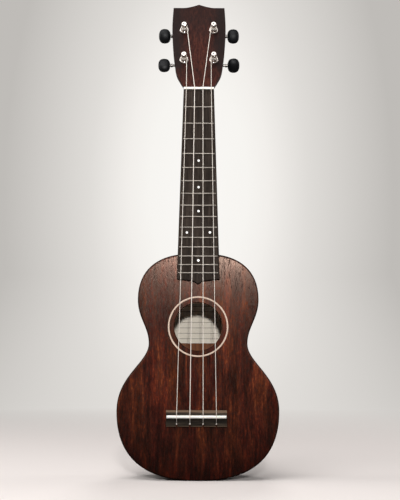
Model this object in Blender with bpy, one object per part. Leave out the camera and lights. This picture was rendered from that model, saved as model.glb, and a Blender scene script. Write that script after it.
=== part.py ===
"""Soprano ukulele, standing head up, built the way the real one is built.

The body is two plates on bent ribs, linings, blocks and braces. The neck joins the neck
block with a dovetail, every fret has a tang in its own slot, and four geared tuners carry
the strings, whose ends are knotted in the slots of the bridge.

Sizes are in millimetres and become metres when a mesh is made. The construction frame
has its origin on the soundboard's front face, on the centre line and level with the
bottom of the body: x to the viewer's right, y from the soundboard towards the back, z up
the neck. The headstock leans back and has its own frame, whose origin is on its face
behind the nut: x as before, s up the face and n out of the face.
"""

import math

import bmesh
import bpy
from mathutils import Vector

MM = 0.001
GAP = 0.3

# Scale: the 13.6 inch scale of a soprano sets every fret and the saddle
SCALE_LENGTH = 345.0
SADDLE_SETBACK = 3.9
SADDLE_Z = 64.9
NUT_Z = SADDLE_Z + SADDLE_SETBACK + SCALE_LENGTH
FRET_COUNT = 15

# Soundbox
BODY_LENGTH = 234.5
DEPTH_AT_TAIL = 62.0
DEPTH_AT_NECK = 55.0
PLATE = 2.0
RIB = 2.0
LOWER_BOUT = (84.4, 71.0)
WAIST = (51.7, 139.9)
UPPER_BOUT = (63.7, 186.7)
FLAT_NECK_END = 14.0
SOUNDHOLE_Z = 157.8
SOUNDHOLE_RADIUS = 25.0
RING_INNER_RADIUS = 30.1
RING_OUTER_RADIUS = 31.7
RING_DEPTH = 0.9
BLOCK_HALF_WIDTH = 22.0
LINING_WIDTH = 5.0
LINING_HEIGHT = 6.0

# Neck, fingerboard and nut
BOARD_HALF_AT_NUT = 16.5
BOARD_HALF_AT_END = 22.6
BOARD_END_Z = 207.4
BOARD_THICKNESS = 4.0
NECK_DEPTH_AT_NUT = 14.0
NECK_DEPTH_AT_HEEL = 16.0
HEEL_DEPTH = 53.0
HEEL_TOP_Z = 277.3
DOVETAIL_LENGTH = 14.0
FRET_WIDTH = 1.6
FRET_CROWN = 0.9
NUT_THICKNESS = 3.0
NUT_TOP = 6.9

# Headstock
HEAD_Z = NUT_Z + NUT_THICKNESS + 1.5
HEAD_TILT = math.radians(14.0)
HEAD_THICKNESS = 14.5
HEAD_TOP = 105.0
HEAD_PEAK = 4.6
HEAD_PEAK_HALF = 17.0

# Bridge and saddle
BRIDGE_X = -1.4
BRIDGE_HALF_WIDTH = 31.5
BRIDGE_FRONT_Z = 71.4
BRIDGE_REAR_Z = 54.7
SADDLE_TOP = 9.2
SADDLE_HALF_WIDTH = 30.8
SADDLE_THICKNESS = 3.0

# Strings: name, x at the nut, x at the saddle, diameter
STRINGS = (
    ("g", -13.5, BRIDGE_X - 20.4, 0.64),
    ("c", -4.5, BRIDGE_X - 6.8, 0.86),
    ("e", 4.5, BRIDGE_X + 6.8, 0.72),
    ("a", 13.5, BRIDGE_X + 20.4, 0.60),
)

# Tuners: string name, side, s of the post, rest angle of the knob in degrees
TUNERS = (
    ("g", -1, 34.8, 4.0),
    ("c", -1, 74.3, 28.0),
    ("e", 1, 74.3, 22.0),
    ("a", 1, 34.8, 50.0),
)
POST_X = 16.4
POST_RADIUS = 3.0
WAIST_RADIUS = 2.2
POST_TOP = 12.5
TUNER_PLATE = 1.2
GEAR_TEETH = 14
GEAR_THICKNESS = 4.4
GEAR_ROOT = 3.15
GEAR_TIP = 4.1
WORM_OFFSET = 5.5
WORM_DEPTH = 18.6
WORM_CORE = 1.1
WORM_TIP = 2.0
WORM_TURNS = 3.6
WORM_PITCH = 2.0 * math.pi * 3.85 / GEAR_TEETH
SHAFT_RADIUS = 1.4
KNOB_CENTRE = 22.7
TURN_PITCH = 1.35
TURN_COUNT = 2.25
TURN_LOW = 4.6

# The whole instrument is shifted so that its box is centred on the origin
FACE_Y = -25.85


def clear_scene():
    for obj in list(bpy.data.objects):
        bpy.data.objects.remove(obj, do_unlink=True)


def look(name, color, roughness, metallic=0.0):
    material = bpy.data.materials.new(name)
    material.use_nodes = True
    shader = material.node_tree.nodes["Principled BSDF"]
    shader.inputs["Base Color"].default_value = (*color, 1.0)
    shader.inputs["Roughness"].default_value = roughness
    shader.inputs["Metallic"].default_value = metallic
    return material


def empty(name, parent, place, tilt=0.0):
    frame = bpy.data.objects.new(name, None)
    bpy.context.scene.collection.objects.link(frame)
    frame.parent = parent
    frame.location = Vector(place) * MM
    frame.rotation_euler = (tilt, 0.0, 0.0)
    return frame


def solid(name, shape, material, parent, place=(0, 0, 0), turn=(0, 0, 0), smooth=None):
    """An object from points and faces in millimetres, with its faces turned outwards."""
    points, faces = shape
    mesh = bpy.data.meshes.new(name)
    mesh.from_pydata([tuple(c * MM for c in point) for point in points], [], faces)
    work = bmesh.new()
    work.from_mesh(mesh)
    bmesh.ops.recalc_face_normals(work, faces=work.faces)
    work.to_mesh(mesh)
    work.free()
    if smooth:
        mesh.shade_smooth()
        mesh.set_sharp_from_angle(angle=math.radians(smooth))
    obj = bpy.data.objects.new(name, mesh)
    bpy.context.scene.collection.objects.link(obj)
    obj.parent = parent
    obj.location = Vector(place) * MM
    obj.rotation_euler = turn
    if material:
        mesh.materials.append(material)
    return obj


def cutter(name, shape, parent, place=(0, 0, 0), turn=(0, 0, 0)):
    obj = solid(name, shape, None, parent, place, turn)
    obj.hide_render = True
    obj.display_type = "WIRE"
    return obj


def combine(target, tool, operation):
    step = target.modifiers.new(tool.name, "BOOLEAN")
    step.operation = operation
    step.object = tool


def loft(rings):
    """Quads between rings of equal count, and a cap on the first and the last ring."""
    count = len(rings[0])
    points = [point for ring in rings for point in ring]
    faces = [tuple(range(count)), tuple(range(len(points) - count, len(points)))]
    for start in range(0, len(points) - count, count):
        for j in range(count):
            k = (j + 1) % count
            faces.append((start + j, start + k, start + count + k, start + count + j))
    return points, faces


def hoop(rings):
    """Like loft, but the last ring joins the first and nothing is capped."""
    points, faces = loft(rings)
    count = len(rings[0])
    last = len(points) - count
    faces = faces[2:]
    for j in range(count):
        k = (j + 1) % count
        faces.append((last + j, last + k, k, j))
    return points, faces


def turned(profile, sides):
    """A lathe shape about z from (radius, height) pairs, bottom to top."""
    angles = [2.0 * math.pi * j / sides for j in range(sides)]
    return loft([[(r * math.cos(a), r * math.sin(a), h) for a in angles] for r, h in profile])


def turned_ring(profile, sides):
    """A lathe shape about z with a bore, from a closed loop of (radius, height) pairs."""
    angles = [2.0 * math.pi * j / sides for j in range(sides)]
    return hoop([[(r * math.cos(a), r * math.sin(a), h) for r, h in profile] for a in angles])


def box(low, high):
    x0, y0, z0 = low
    x1, y1, z1 = high
    lower = [(x0, y0, z0), (x1, y0, z0), (x1, y1, z0), (x0, y1, z0)]
    return loft([lower, [(x, y, z1) for x, y, _ in lower]])


def along_x(profile, half_width):
    """A prism across the instrument from a closed loop of (z, y) pairs."""
    return loft([[(x, y, z) for z, y in profile] for x in (-half_width, half_width)])


def through_y(outline, front, back):
    """A prism through the body from a closed loop of (x, z) pairs."""
    return loft([[(x, front, z) for x, z in outline], [(x, back(z), z) for x, z in outline]])


def several(shapes):
    """Separate closed shapes in one mesh, for a cutter that works in several places."""
    points, faces = [], []
    for more_points, more_faces in shapes:
        start = len(points)
        points += more_points
        faces += [tuple(start + index for index in face) for face in more_faces]
    return points, faces


def bezier(p0, p1, p2, p3, steps):
    """Points along a cubic curve, without its first point."""
    result = []
    for i in range(1, steps + 1):
        t = i / steps
        weights = ((1 - t) ** 3, 3 * (1 - t) ** 2 * t, 3 * (1 - t) * t * t, t ** 3)
        result.append(tuple(sum(w * p[axis] for w, p in zip(weights, (p0, p1, p2, p3)))
                            for axis in (0, 1)))
    return result


def half_outline():
    """Right half of the body outline as (x, z), from the tail up to the neck end."""
    (low_x, low_z), (waist_x, waist_z), (up_x, up_z) = LOWER_BOUT, WAIST, UPPER_BOUT
    end = (FLAT_NECK_END, BODY_LENGTH)
    points = [(0.0, 0.0)]
    points += bezier((0, 0), (24, 0), (low_x, low_z - 68.5), LOWER_BOUT, 15)
    points += bezier(LOWER_BOUT, (low_x, low_z + 36), (waist_x, waist_z - 19.6), WAIST, 10)
    points += bezier(WAIST, (waist_x, waist_z + 17.3), (up_x, up_z - 20.3), UPPER_BOUT, 7)
    points += bezier(UPPER_BOUT, (up_x, up_z + 46), (end[0] + 6, BODY_LENGTH), end, 9)
    return points


def inset(points, distance):
    """The half outline moved inwards along its normals."""
    moved = []
    for i, (x, z) in enumerate(points):
        before = points[max(i - 1, 0)]
        after = points[min(i + 1, len(points) - 1)]
        run = math.hypot(after[0] - before[0], after[1] - before[1])
        moved.append((x - distance * (after[1] - before[1]) / run,
                      z + distance * (after[0] - before[0]) / run))
    return moved


def half_width_at(z):
    """Half width of the body at one height, read off the outline."""
    points = half_outline()
    for (x0, z0), (x1, z1) in zip(points, points[1:]):
        if z0 <= z <= z1:
            return x0 + (x1 - x0) * (z - z0) / (z1 - z0)
    return FLAT_NECK_END


def full_outline():
    right = half_outline()
    return right + [(-x, z) for x, z in reversed(right[1:])]


def back_face(z):
    """y of the back's outer face: the body is shallower at the neck."""
    return DEPTH_AT_TAIL - (DEPTH_AT_TAIL - DEPTH_AT_NECK) * z / BODY_LENGTH


def under_back(z):
    return back_face(z) - PLATE - GAP


def board_half_width(z):
    share = (NUT_Z - z) / (NUT_Z - BOARD_END_Z)
    return BOARD_HALF_AT_NUT + (BOARD_HALF_AT_END - BOARD_HALF_AT_NUT) * share


def fret_z(number):
    """Equal temperament: each fret shortens the string by the twelfth root of two."""
    return NUT_Z - SCALE_LENGTH * (1.0 - 2.0 ** (-number / 12.0))


def make_plates(frame, wood):
    top = solid("top_plate", through_y(full_outline(), 0.0, lambda z: PLATE), wood, frame)
    facing = (math.pi / 2, 0.0, 0.0)
    centre = (0.0, 0.0, SOUNDHOLE_Z)
    hole = turned([(SOUNDHOLE_RADIUS, -PLATE - 1.0), (SOUNDHOLE_RADIUS, 1.0)], 48)
    groove_depth = RING_DEPTH + GAP
    inner, outer = RING_INNER_RADIUS - GAP, RING_OUTER_RADIUS + GAP
    groove = turned_ring([(inner, -groove_depth), (outer, -groove_depth), (outer, 1.0),
                          (inner, 1.0)], 48)
    combine(top, cutter("soundhole_cut", hole, frame, centre, facing), "DIFFERENCE")
    combine(top, cutter("ring_groove_cut", groove, frame, centre, facing), "DIFFERENCE")
    outline = full_outline()
    rings = [[(x, under_back(z) + GAP, z) for x, z in outline],
             [(x, back_face(z), z) for x, z in outline]]
    solid("back_plate", loft(rings), wood, frame)


def make_ring(frame, inlay):
    profile = [(RING_INNER_RADIUS, -RING_DEPTH), (RING_OUTER_RADIUS, -RING_DEPTH),
               (RING_OUTER_RADIUS, 0.0), (RING_INNER_RADIUS, 0.0)]
    solid("soundhole_ring", turned_ring(profile, 48), inlay, frame,
          (0.0, 0.0, SOUNDHOLE_Z), (math.pi / 2, 0.0, 0.0))


def make_sides(frame, wood):
    """Two bent ribs that meet at the tail and stop at the sides of the dovetail."""
    outer = half_outline()
    outer[0] = (GAP, 0.0)
    outer.append((8.0, BODY_LENGTH))
    inner = inset(outer, RIB)
    inner[0] = (GAP, RIB)
    inner[-1] = (8.0, BODY_LENGTH - RIB)
    for name, side in (("side_left", -1), ("side_right", 1)):
        rings = []
        for (xo, zo), (xi, zi) in zip(outer, inner):
            rings.append([(side * xo, PLATE + GAP, zo), (side * xo, under_back(zo), zo),
                          (side * xi, under_back(zi), zi), (side * xi, PLATE + GAP, zi)])
        solid(name, loft(rings), wood, frame, smooth=40)


def make_linings(frame, wood):
    """Triangular strips that widen the glue joint between the ribs and each plate."""
    centre = half_outline()
    against_rib = inset(centre, RIB + GAP)
    wide = inset(centre, RIB + GAP + LINING_WIDTH)
    near, far = PLATE + GAP, PLATE + GAP + LINING_HEIGHT
    for side_name, side in (("left", -1), ("right", 1)):
        front, back = [], []
        for (xr, zr), (xw, zw) in zip(against_rib, wide):
            if xw < BLOCK_HALF_WIDTH + 1.0:
                continue
            front.append([(side * xr, near, zr), (side * xw, near, zw), (side * xr, far, zr)])
            back.append([(side * xr, under_back(zr), zr), (side * xw, under_back(zw), zw),
                         (side * xr, under_back(zr) - LINING_HEIGHT, zr)])
        solid("front_lining_" + side_name, loft(front), wood, frame)
        solid("back_lining_" + side_name, loft(back), wood, frame)


def make_blocks(frame, wood):
    neck_top, neck_bottom = BODY_LENGTH - RIB - 0.7, BODY_LENGTH - RIB - 17.0
    half = BLOCK_HALF_WIDTH
    outline = [(-half, neck_bottom), (half, neck_bottom), (half, neck_top), (-half, neck_top)]
    block = solid("neck_block", through_y(outline, PLATE + GAP, under_back), wood, frame)
    socket = dovetail(BODY_LENGTH + 1.0, GAP + 0.1)
    combine(block, cutter("dovetail_socket_cut", socket, frame), "DIFFERENCE")
    base = [(x, z) for x, z in inset(half_outline(), RIB + 2 * GAP)
            if x < half - 1.0 and z < LOWER_BOUT[1]]
    base[0] = (0.0, RIB + 2 * GAP)
    right = base + [(base[-1][0], RIB + 14.0)]
    outline = right + [(-x, z) for x, z in reversed(right[1:])]
    solid("tail_block", through_y(outline, PLATE + GAP, under_back), wood, frame)


def dovetail(root_z, margin):
    """The tenon, or with a margin its socket: wider at its tip than at its root."""
    tip_z = BODY_LENGTH + GAP - DOVETAIL_LENGTH
    root, tip = 7.0 + margin, 9.0 + margin
    outline = [(-root, root_z), (-tip, tip_z - margin), (tip, tip_z - margin), (root, root_z)]
    front = 2.8 - (1.0 if margin else 0.0)
    back = 46.0 + margin
    return through_y(outline, front, lambda z: back)


def cross_brace(name, z, half_length, height, surface, inward, frame, wood):
    """A bar across the inside of a plate, scooped down towards its ends."""
    scoop = 16.0
    profile = [(-half_length, 0.0), (half_length, 0.0), (half_length, height * 0.35),
               (half_length - scoop, height), (-half_length + scoop, height),
               (-half_length, height * 0.35)]
    rings = [[(x, surface(level) + inward * h, level) for x, h in profile]
             for level in (z - 3.0, z + 3.0)]
    solid(name, loft(rings), wood, frame)


def make_braces(frame, spruce):
    reach = RIB + LINING_WIDTH + 3 * GAP
    places = (("upper_top_brace", 193.3, 8.0, True), ("lower_top_brace", 122.3, 8.0, True),
              ("upper_back_brace", 193.3, 10.0, False), ("lower_back_brace", 79.3, 10.0, False))
    for name, z, height, on_top in places:
        half = min(half_width_at(z - 4.0), half_width_at(z + 4.0)) - reach
        surface = (lambda level: PLATE + GAP) if on_top else under_back
        cross_brace(name, z, half, height, surface, 1 if on_top else -1, frame, spruce)
    patch = box((-35.0, PLATE + GAP, 51.3), (35.0, PLATE + GAP + 1.8, 77.3))
    solid("bridge_patch", patch, spruce, frame, (BRIDGE_X, 0, 0))


def head_half_width(s):
    """Half width of the headstock: a quick flare behind the nut, then a gentle curve."""
    knots = ((-8.0, 16.6), (0.0, 16.7), (9.8, 21.0), (18.5, 24.6), (33.0, 26.9),
             (49.0, 28.7), (77.0, 30.0), (105.0, 28.9), (120.0, 27.4))
    for i in range(1, len(knots) - 2):
        (s0, w0), (s1, w1), (s2, w2), (s3, w3) = knots[i - 1:i + 3]
        if s <= s2 or i == len(knots) - 3:
            t = (s - s1) / (s2 - s1)
            m1 = (w2 - w0) / (s2 - s0) * (s2 - s1)
            m2 = (w3 - w1) / (s3 - s1) * (s2 - s1)
            return ((2 * t ** 3 - 3 * t * t + 1) * w1 + (t ** 3 - 2 * t * t + t) * m1
                    + (3 * t * t - 2 * t ** 3) * w2 + (t ** 3 - t * t) * m2)
    return knots[-1][1]


def head_top(x):
    """s of the head's upper edge: level corners and a soft central peak."""
    share = max(0.0, 1.0 - abs(x) / HEAD_PEAK_HALF)
    return HEAD_TOP + HEAD_PEAK * share ** 1.5


def head_point(x, s, n):
    """Construction coordinates of a point given in the head's frame."""
    return (x, s * math.sin(HEAD_TILT) - n * math.cos(HEAD_TILT),
            HEAD_Z + s * math.cos(HEAD_TILT) + n * math.sin(HEAD_TILT))


def neck_section(front, back, half_width, squareness, cap=1.0):
    """A closed section: a straight front row, then a rounded back row.

    front and back give the section's front and back points for an x from -1 to 1,
    squareness 2 is an ellipse and more is boxier, and a cap above 1 flattens the back.
    """
    ring = []
    columns = 6
    for j in range(columns + 1):
        x = -1.0 + 2.0 * j / columns
        ring.append((half_width * x, *front(half_width * x)))
    for j in range(1, 12):
        angle = math.pi * j / 12
        x = math.copysign(abs(math.cos(angle)) ** (2.0 / squareness), math.cos(angle))
        v = min(1.0, cap * math.sin(angle) ** (2.0 / squareness))
        (y0, z0), (y1, z1) = front(half_width * x), back(half_width * x)
        ring.append((half_width * x, y0 + (y1 - y0) * v, z0 + (z1 - z0) * v))
    return ring


def shaft_section(z):
    rise = max(0.0, (HEEL_TOP_Z - z) / (HEEL_TOP_Z - BODY_LENGTH - GAP))
    straight = (NUT_Z - z) / (NUT_Z - BODY_LENGTH)
    depth = NECK_DEPTH_AT_NUT + (NECK_DEPTH_AT_HEEL - NECK_DEPTH_AT_NUT) * straight
    depth += (HEEL_DEPTH - depth) * rise ** 3
    return neck_section(lambda x: (0.0, z), lambda x: (depth, z), board_half_width(z),
                        2.2 - 0.55 * rise, 1.0 + 0.09 * rise)


def head_section(s):
    """A section square across the head: the neck's round back fades out behind the flare."""
    face, rear = head_point(0.0, s, 0.0)[1:], head_point(0.0, s, -HEAD_THICKNESS)[1:]
    squareness = 9.0 - 6.3 * max(0.0, 1.0 - s / 25.0) ** 0.6
    return neck_section(lambda x: face, lambda x: rear, head_half_width(s), squareness)


def above_head():
    """What is cut off over the head's upper edge, in the head's frame."""
    half, top = 40.0, HEAD_TOP + 20.0
    edge = [(x, head_top(x)) for x in (-17.0, -13.5, -10.0, -6.5, -3.0, 0.0)]
    edge = [(-half, HEAD_TOP), *edge, *((-x, s) for x, s in reversed(edge[:-1])), (half, HEAD_TOP)]
    outline = [*edge, (half, top), (-half, top)]
    return loft([[(x, s, n) for x, s in outline] for n in (-HEAD_THICKNESS - 4.0, 4.0)])


def make_neck(frame, head, wood):
    heel_z = [BODY_LENGTH + GAP + step for step in (0.0, 2.0, 4.5, 8.0, 12.5, 18.0, 25.0, 34.0)]
    shaft_z = [HEEL_TOP_Z, 310.0, 360.0, 400.0]
    rings = [shaft_section(z) for z in heel_z + shaft_z]
    rings.append(neck_section(lambda x: (0.0, 413.3), lambda x: (NECK_DEPTH_AT_NUT, 411.3),
                              board_half_width(413.3), 2.6))
    rings.append(neck_section(lambda x: (0.0, HEAD_Z), lambda x: head_point(0, 0, -14.1)[1:],
                              head_half_width(0.0), 2.7))
    for s in (4.0, 9.8, 14.0, 18.5, 25.0, 33.0, 49.0, 63.0, 77.0, 91.0, 101.0, 113.0):
        rings.append(head_section(s))
    neck = solid("neck", loft(rings), wood, frame, smooth=35)
    combine(neck, cutter("head_top_cut", above_head(), head), "DIFFERENCE")
    combine(neck, cutter("dovetail_tenon", dovetail(BODY_LENGTH + 3.0, 0.0), frame), "UNION")
    wide = POST_RADIUS + 1.3
    narrow = POST_RADIUS + 0.5
    for name, side, s, _ in TUNERS:
        bore = turned([(narrow, -HEAD_THICKNESS - 2.0), (narrow, -6.5), (wide, -6.5),
                       (wide, 2.0)], 20)
        tool = cutter("tuner_hole_cut_" + name, bore, head, (side * POST_X, s, 0.0))
        combine(neck, tool, "DIFFERENCE")


def make_fingerboard(frame, wood):
    top_z = NUT_Z - GAP
    half, end = board_half_width(top_z), BOARD_HALF_AT_END
    outline = [(half, top_z), (-half, top_z), (-end, BOARD_END_Z), (-6.4, BOARD_END_Z - 1.7),
               (0.0, BOARD_END_Z - 4.9), (6.4, BOARD_END_Z - 1.7), (end, BOARD_END_Z)]
    surface = -GAP - BOARD_THICKNESS
    board = solid("fingerboard", through_y(outline, surface, lambda z: -GAP), wood, frame)
    slots = []
    for number in range(1, FRET_COUNT + 1):
        z = fret_z(number)
        reach = board_half_width(z) - 0.8
        slots.append(box((-reach, surface - 1.0, z - 0.6), (reach, surface + 2.2, z + 0.6)))
    combine(board, cutter("fret_slots_cut", several(slots), frame), "DIFFERENCE")


def make_frets(frame, metal):
    """A domed crown over the fingerboard and a thin tang in the slot."""
    base = -GAP - BOARD_THICKNESS - GAP
    half = FRET_WIDTH / 2
    crown = [(half * math.cos(math.pi * i / 6), base - FRET_CROWN * math.sin(math.pi * i / 6))
             for i in range(7)]
    profile = crown + [(-0.3, base), (-0.3, base + 2.2), (0.3, base + 2.2), (0.3, base)]
    for number in range(1, FRET_COUNT + 1):
        z = fret_z(number)
        shape = along_x(profile, board_half_width(z) - 1.1)
        solid(f"fret_{number:02d}", shape, metal, frame, (0, 0, z), smooth=40)


def make_nut(frame, bone):
    front, rear = 0.0, NUT_THICKNESS
    profile = [(front, -GAP), (rear, -GAP), (rear, -NUT_TOP + 1.6), (rear - 0.8, -NUT_TOP + 0.4),
               (rear - 2.0, -NUT_TOP), (front + 0.6, -NUT_TOP), (front, -NUT_TOP + 0.5)]
    nut = solid("nut", along_x(profile, BOARD_HALF_AT_NUT), bone, frame, (0, 0, NUT_Z))
    slots = []
    for _, x, _, wide in STRINGS:
        left, right, above = x - wide / 2 - 0.33, x + wide / 2 + 0.33, -NUT_TOP - 1.0
        slots.append(loft([[(left, above, z), (right, above, z), (right, -NUT_TOP + floor, z),
                            (left, -NUT_TOP + floor, z)]
                           for z, floor in ((-1.0, 1.0), (NUT_THICKNESS + 1.0, 2.3))]))
    combine(nut, cutter("nut_slots_cut", several(slots), frame, (0, 0, NUT_Z)), "DIFFERENCE")


def make_bridge(frame, wood, bone):
    """A rosewood block with an open saddle slot, a sloping front and a lower rear ledge."""
    front, rear = BRIDGE_FRONT_Z, BRIDGE_REAR_Z
    slot_low = SADDLE_Z - SADDLE_THICKNESS / 2 - GAP
    slot_high = SADDLE_Z + SADDLE_THICKNESS / 2 + GAP
    profile = [(front, -GAP), (front, -2.2), (front - 1.8, -4.9), (slot_high + 0.6, -6.0),
               (slot_high, -6.0), (slot_high, -3.1), (slot_low, -3.1), (slot_low, -6.0),
               (slot_low - 0.9, -6.0), (slot_low - 2.2, -4.5), (rear + 1.4, -4.2),
               (rear, -3.2), (rear, -GAP)]
    bridge = solid("bridge", along_x(profile, BRIDGE_HALF_WIDTH), wood, frame, (BRIDGE_X, 0, 0))
    slots, pockets = [], []
    for _, _, x, wide in STRINGS:
        reach = wide / 2 + 0.35
        slots.append(box((x - reach, -6.5, rear - 2.0), (x + reach, -2.0, rear + 5.7)))
        pockets.append(box((x - 2.1, -3.0, rear - 2.0), (x + 2.1, 1.0, rear + 5.4)))
    combine(bridge, cutter("string_slots_cut", several(slots), frame), "DIFFERENCE")
    combine(bridge, cutter("knot_pockets_cut", several(pockets), frame), "DIFFERENCE")
    half = SADDLE_THICKNESS / 2
    arch = [(half * math.cos(math.pi * i / 6), -SADDLE_TOP + 1.2 - 1.2 * math.sin(math.pi * i / 6))
            for i in range(7)]
    profile = [(half, -3.1 - GAP), *arch, (-half, -3.1 - GAP)]
    place = (BRIDGE_X, 0, SADDLE_Z)
    solid("saddle", along_x(profile, SADDLE_HALF_WIDTH), bone, frame, place, smooth=30)


def string_route(name, nut_x, saddle_x, diameter):
    """Centre line from the knot in the bridge, over saddle and nut, round the post."""
    radius = diameter / 2
    over_saddle = -SADDLE_TOP - GAP - radius
    over_nut = -NUT_TOP + 1.0 - radius
    rear = BRIDGE_REAR_Z
    route = [(saddle_x, -1.5, rear + 2.2), (saddle_x, -1.6, rear + 2.9),
             (saddle_x, -1.9, rear + 3.6), (saddle_x, -2.7, rear + 4.2),
             (saddle_x, -4.0, rear + 4.6), (saddle_x, -5.0, rear + 5.1),
             (saddle_x, over_saddle + 0.7, SADDLE_Z - 1.7),
             (saddle_x, over_saddle, SADDLE_Z - 0.4), (saddle_x, over_saddle, SADDLE_Z + 0.6),
             (nut_x, over_nut, NUT_Z + 0.8), (nut_x, over_nut + 0.15, NUT_Z + 2.4)]
    side, post_s = next((side, s) for tuner, side, s, _ in TUNERS if tuner == name)
    turn_radius = WAIST_RADIUS + 0.4 + radius
    centre = Vector((side * POST_X, post_s))
    leaving = Vector((nut_x, (NUT_Z + 2.4 - HEAD_Z) / math.cos(HEAD_TILT)))
    reach = centre - leaving
    swing = side * math.asin(turn_radius / reach.length)
    heading = math.atan2(reach.y, reach.x) + swing
    start = heading + side * math.pi / 2
    steps = round(TURN_COUNT * 18)
    for i in range(steps + 1):
        angle = start - side * 2.0 * math.pi * TURN_COUNT * i / steps
        rise = TURN_LOW + TURN_PITCH * TURN_COUNT * i / steps
        route.append(head_point(centre.x + turn_radius * math.cos(angle),
                                centre.y + turn_radius * math.sin(angle), rise))
    return route, steps + 1


def least_turn_gap(turns, diameter):
    """Least clear distance between points of the winding half a turn or more apart."""
    least = math.inf
    for i, first in enumerate(turns):
        for second in turns[i + 9:]:
            least = min(least, (Vector(first) - Vector(second)).length - diameter)
    return least


def make_strings(frame, nylon):
    for name, nut_x, saddle_x, diameter in STRINGS:
        route, turn_points = string_route(name, nut_x, saddle_x, diameter)
        gap = least_turn_gap(route[-turn_points:], diameter)
        print(f"string_{name}: least gap between turns {gap:.2f} mm, {len(route)} points")
        curve = bpy.data.curves.new("string_" + name, "CURVE")
        curve.dimensions = "3D"
        curve.bevel_depth = diameter / 2 * MM
        curve.bevel_resolution = 1
        curve.use_fill_caps = True
        spline = curve.splines.new("POLY")
        spline.points.add(len(route) - 1)
        for point, place in zip(spline.points, route):
            point.co = (*(Vector(place) * MM), 1.0)
        for point, swell in zip(spline.points, (1.4, 2.4, 2.2)):
            point.radius = swell
        curve.materials.append(nylon)
        obj = bpy.data.objects.new("string_" + name, curve)
        bpy.context.scene.collection.objects.link(obj)
        obj.parent = frame


def gear_shape():
    """Slightly twisted teeth that follow the slope of the worm's thread."""
    slope = WORM_PITCH / (2.0 * math.pi * (WORM_OFFSET - 3.8))
    rings = []
    for level in (-GEAR_THICKNESS / 2, 0.0, GEAR_THICKNESS / 2):
        ring = []
        for tooth in range(GEAR_TEETH):
            middle = math.pi / 2 + (tooth + 0.5) * 2.0 * math.pi / GEAR_TEETH
            middle += slope * level / 3.8
            for radius, half in ((GEAR_ROOT, -0.38), (GEAR_TIP, -0.19), (GEAR_TIP, 0.19),
                                 (GEAR_ROOT, 0.38)):
                angle = middle + half / radius
                ring.append((radius * math.cos(angle), radius * math.sin(angle), level))
        rings.append(ring)
    return loft(rings)


def thread_shape():
    """A right-hand trapezoid thread about x, sunk a little into the core."""
    steps = round(WORM_TURNS * 10)
    rings = []
    for i in range(steps + 1):
        angle = math.pi + 2.0 * math.pi * WORM_TURNS * (i / steps - 0.5)
        x = WORM_PITCH * (angle - math.pi) / (2.0 * math.pi)
        fade = min(1.0, i / 3, (steps - i) / 3)
        tip = WORM_CORE + 0.15 + (WORM_TIP - WORM_CORE - 0.15) * fade
        ring = [(x + across, r * math.cos(angle), r * math.sin(angle))
                for across, r in ((-0.42, 0.85), (-0.17, tip), (0.17, tip), (0.42, 0.85))]
        rings.append(ring)
    return loft(rings)


def shaft_shape(profile, sides, start=0.0):
    """A lathe shape about x from (x, radius) pairs; start shifts its corners, in sides."""
    angles = [2.0 * math.pi * (j + start) / sides for j in range(sides)]
    return loft([[(x, r * math.cos(a), r * math.sin(a)) for a in angles] for x, r in profile])


def make_bushing(name, tuner, nickel):
    profile = [(3.35, -6.0), (4.0, -6.0), (4.0, GAP), (5.25, GAP), (5.25, 1.0), (4.9, 1.7),
               (4.3, 2.1), (3.8, 2.0), (3.35, 1.2)]
    solid("bushing_" + name, turned_ring(profile, 18), nickel, tuner, smooth=40)


def make_post(name, tuner, steel):
    """The string post with its gear: it turns about its own axis."""
    gear_low = -WORM_DEPTH - GEAR_THICKNESS / 2
    profile = [(1.2, gear_low - 1.2), (1.9, gear_low - 1.0), (1.9, gear_low + 0.6),
               (POST_RADIUS, gear_low + 0.7), (POST_RADIUS, 3.2), (WAIST_RADIUS, 4.0),
               (WAIST_RADIUS, 9.2), (POST_RADIUS, 10.0), (POST_RADIUS, POST_TOP - 0.7),
               (POST_RADIUS - 0.7, POST_TOP), (0.9, POST_TOP), (0.5, POST_TOP - 0.5)]
    post = solid("string_post_" + name, turned(profile, 14), steel, tuner, smooth=40)
    gear = cutter("gear_" + name, gear_shape(), tuner, (0, 0, -WORM_DEPTH))
    combine(post, gear, "UNION")
    hole = shaft_shape([(-4.0, 0.6), (4.0, 0.6)], 6)
    combine(post, cutter("string_hole_cut_" + name, hole, tuner, (0, 0, 8.4)), "DIFFERENCE")


def make_worm(name, side, tuner, steel):
    """The worm and its shaft: it turns about x and reaches out into the knob."""
    profile = [(-7.0, 1.0), (-6.6, SHAFT_RADIUS), (-3.9, SHAFT_RADIUS), (-3.7, WORM_CORE),
               (3.7, WORM_CORE), (3.9, SHAFT_RADIUS), (13.1, SHAFT_RADIUS), (13.2, 2.0),
               (15.6, 2.0), (15.7, SHAFT_RADIUS), (KNOB_CENTRE + 1.5, SHAFT_RADIUS)]
    core = shaft_shape([(side * x, r) for x, r in profile], 10, 0.5)
    place = (0, WORM_OFFSET, -WORM_DEPTH)
    shaft = solid("worm_shaft_" + name, core, steel, tuner, place, smooth=40)
    combine(shaft, cutter("thread_" + name, thread_shape(), tuner, place), "UNION")


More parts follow.
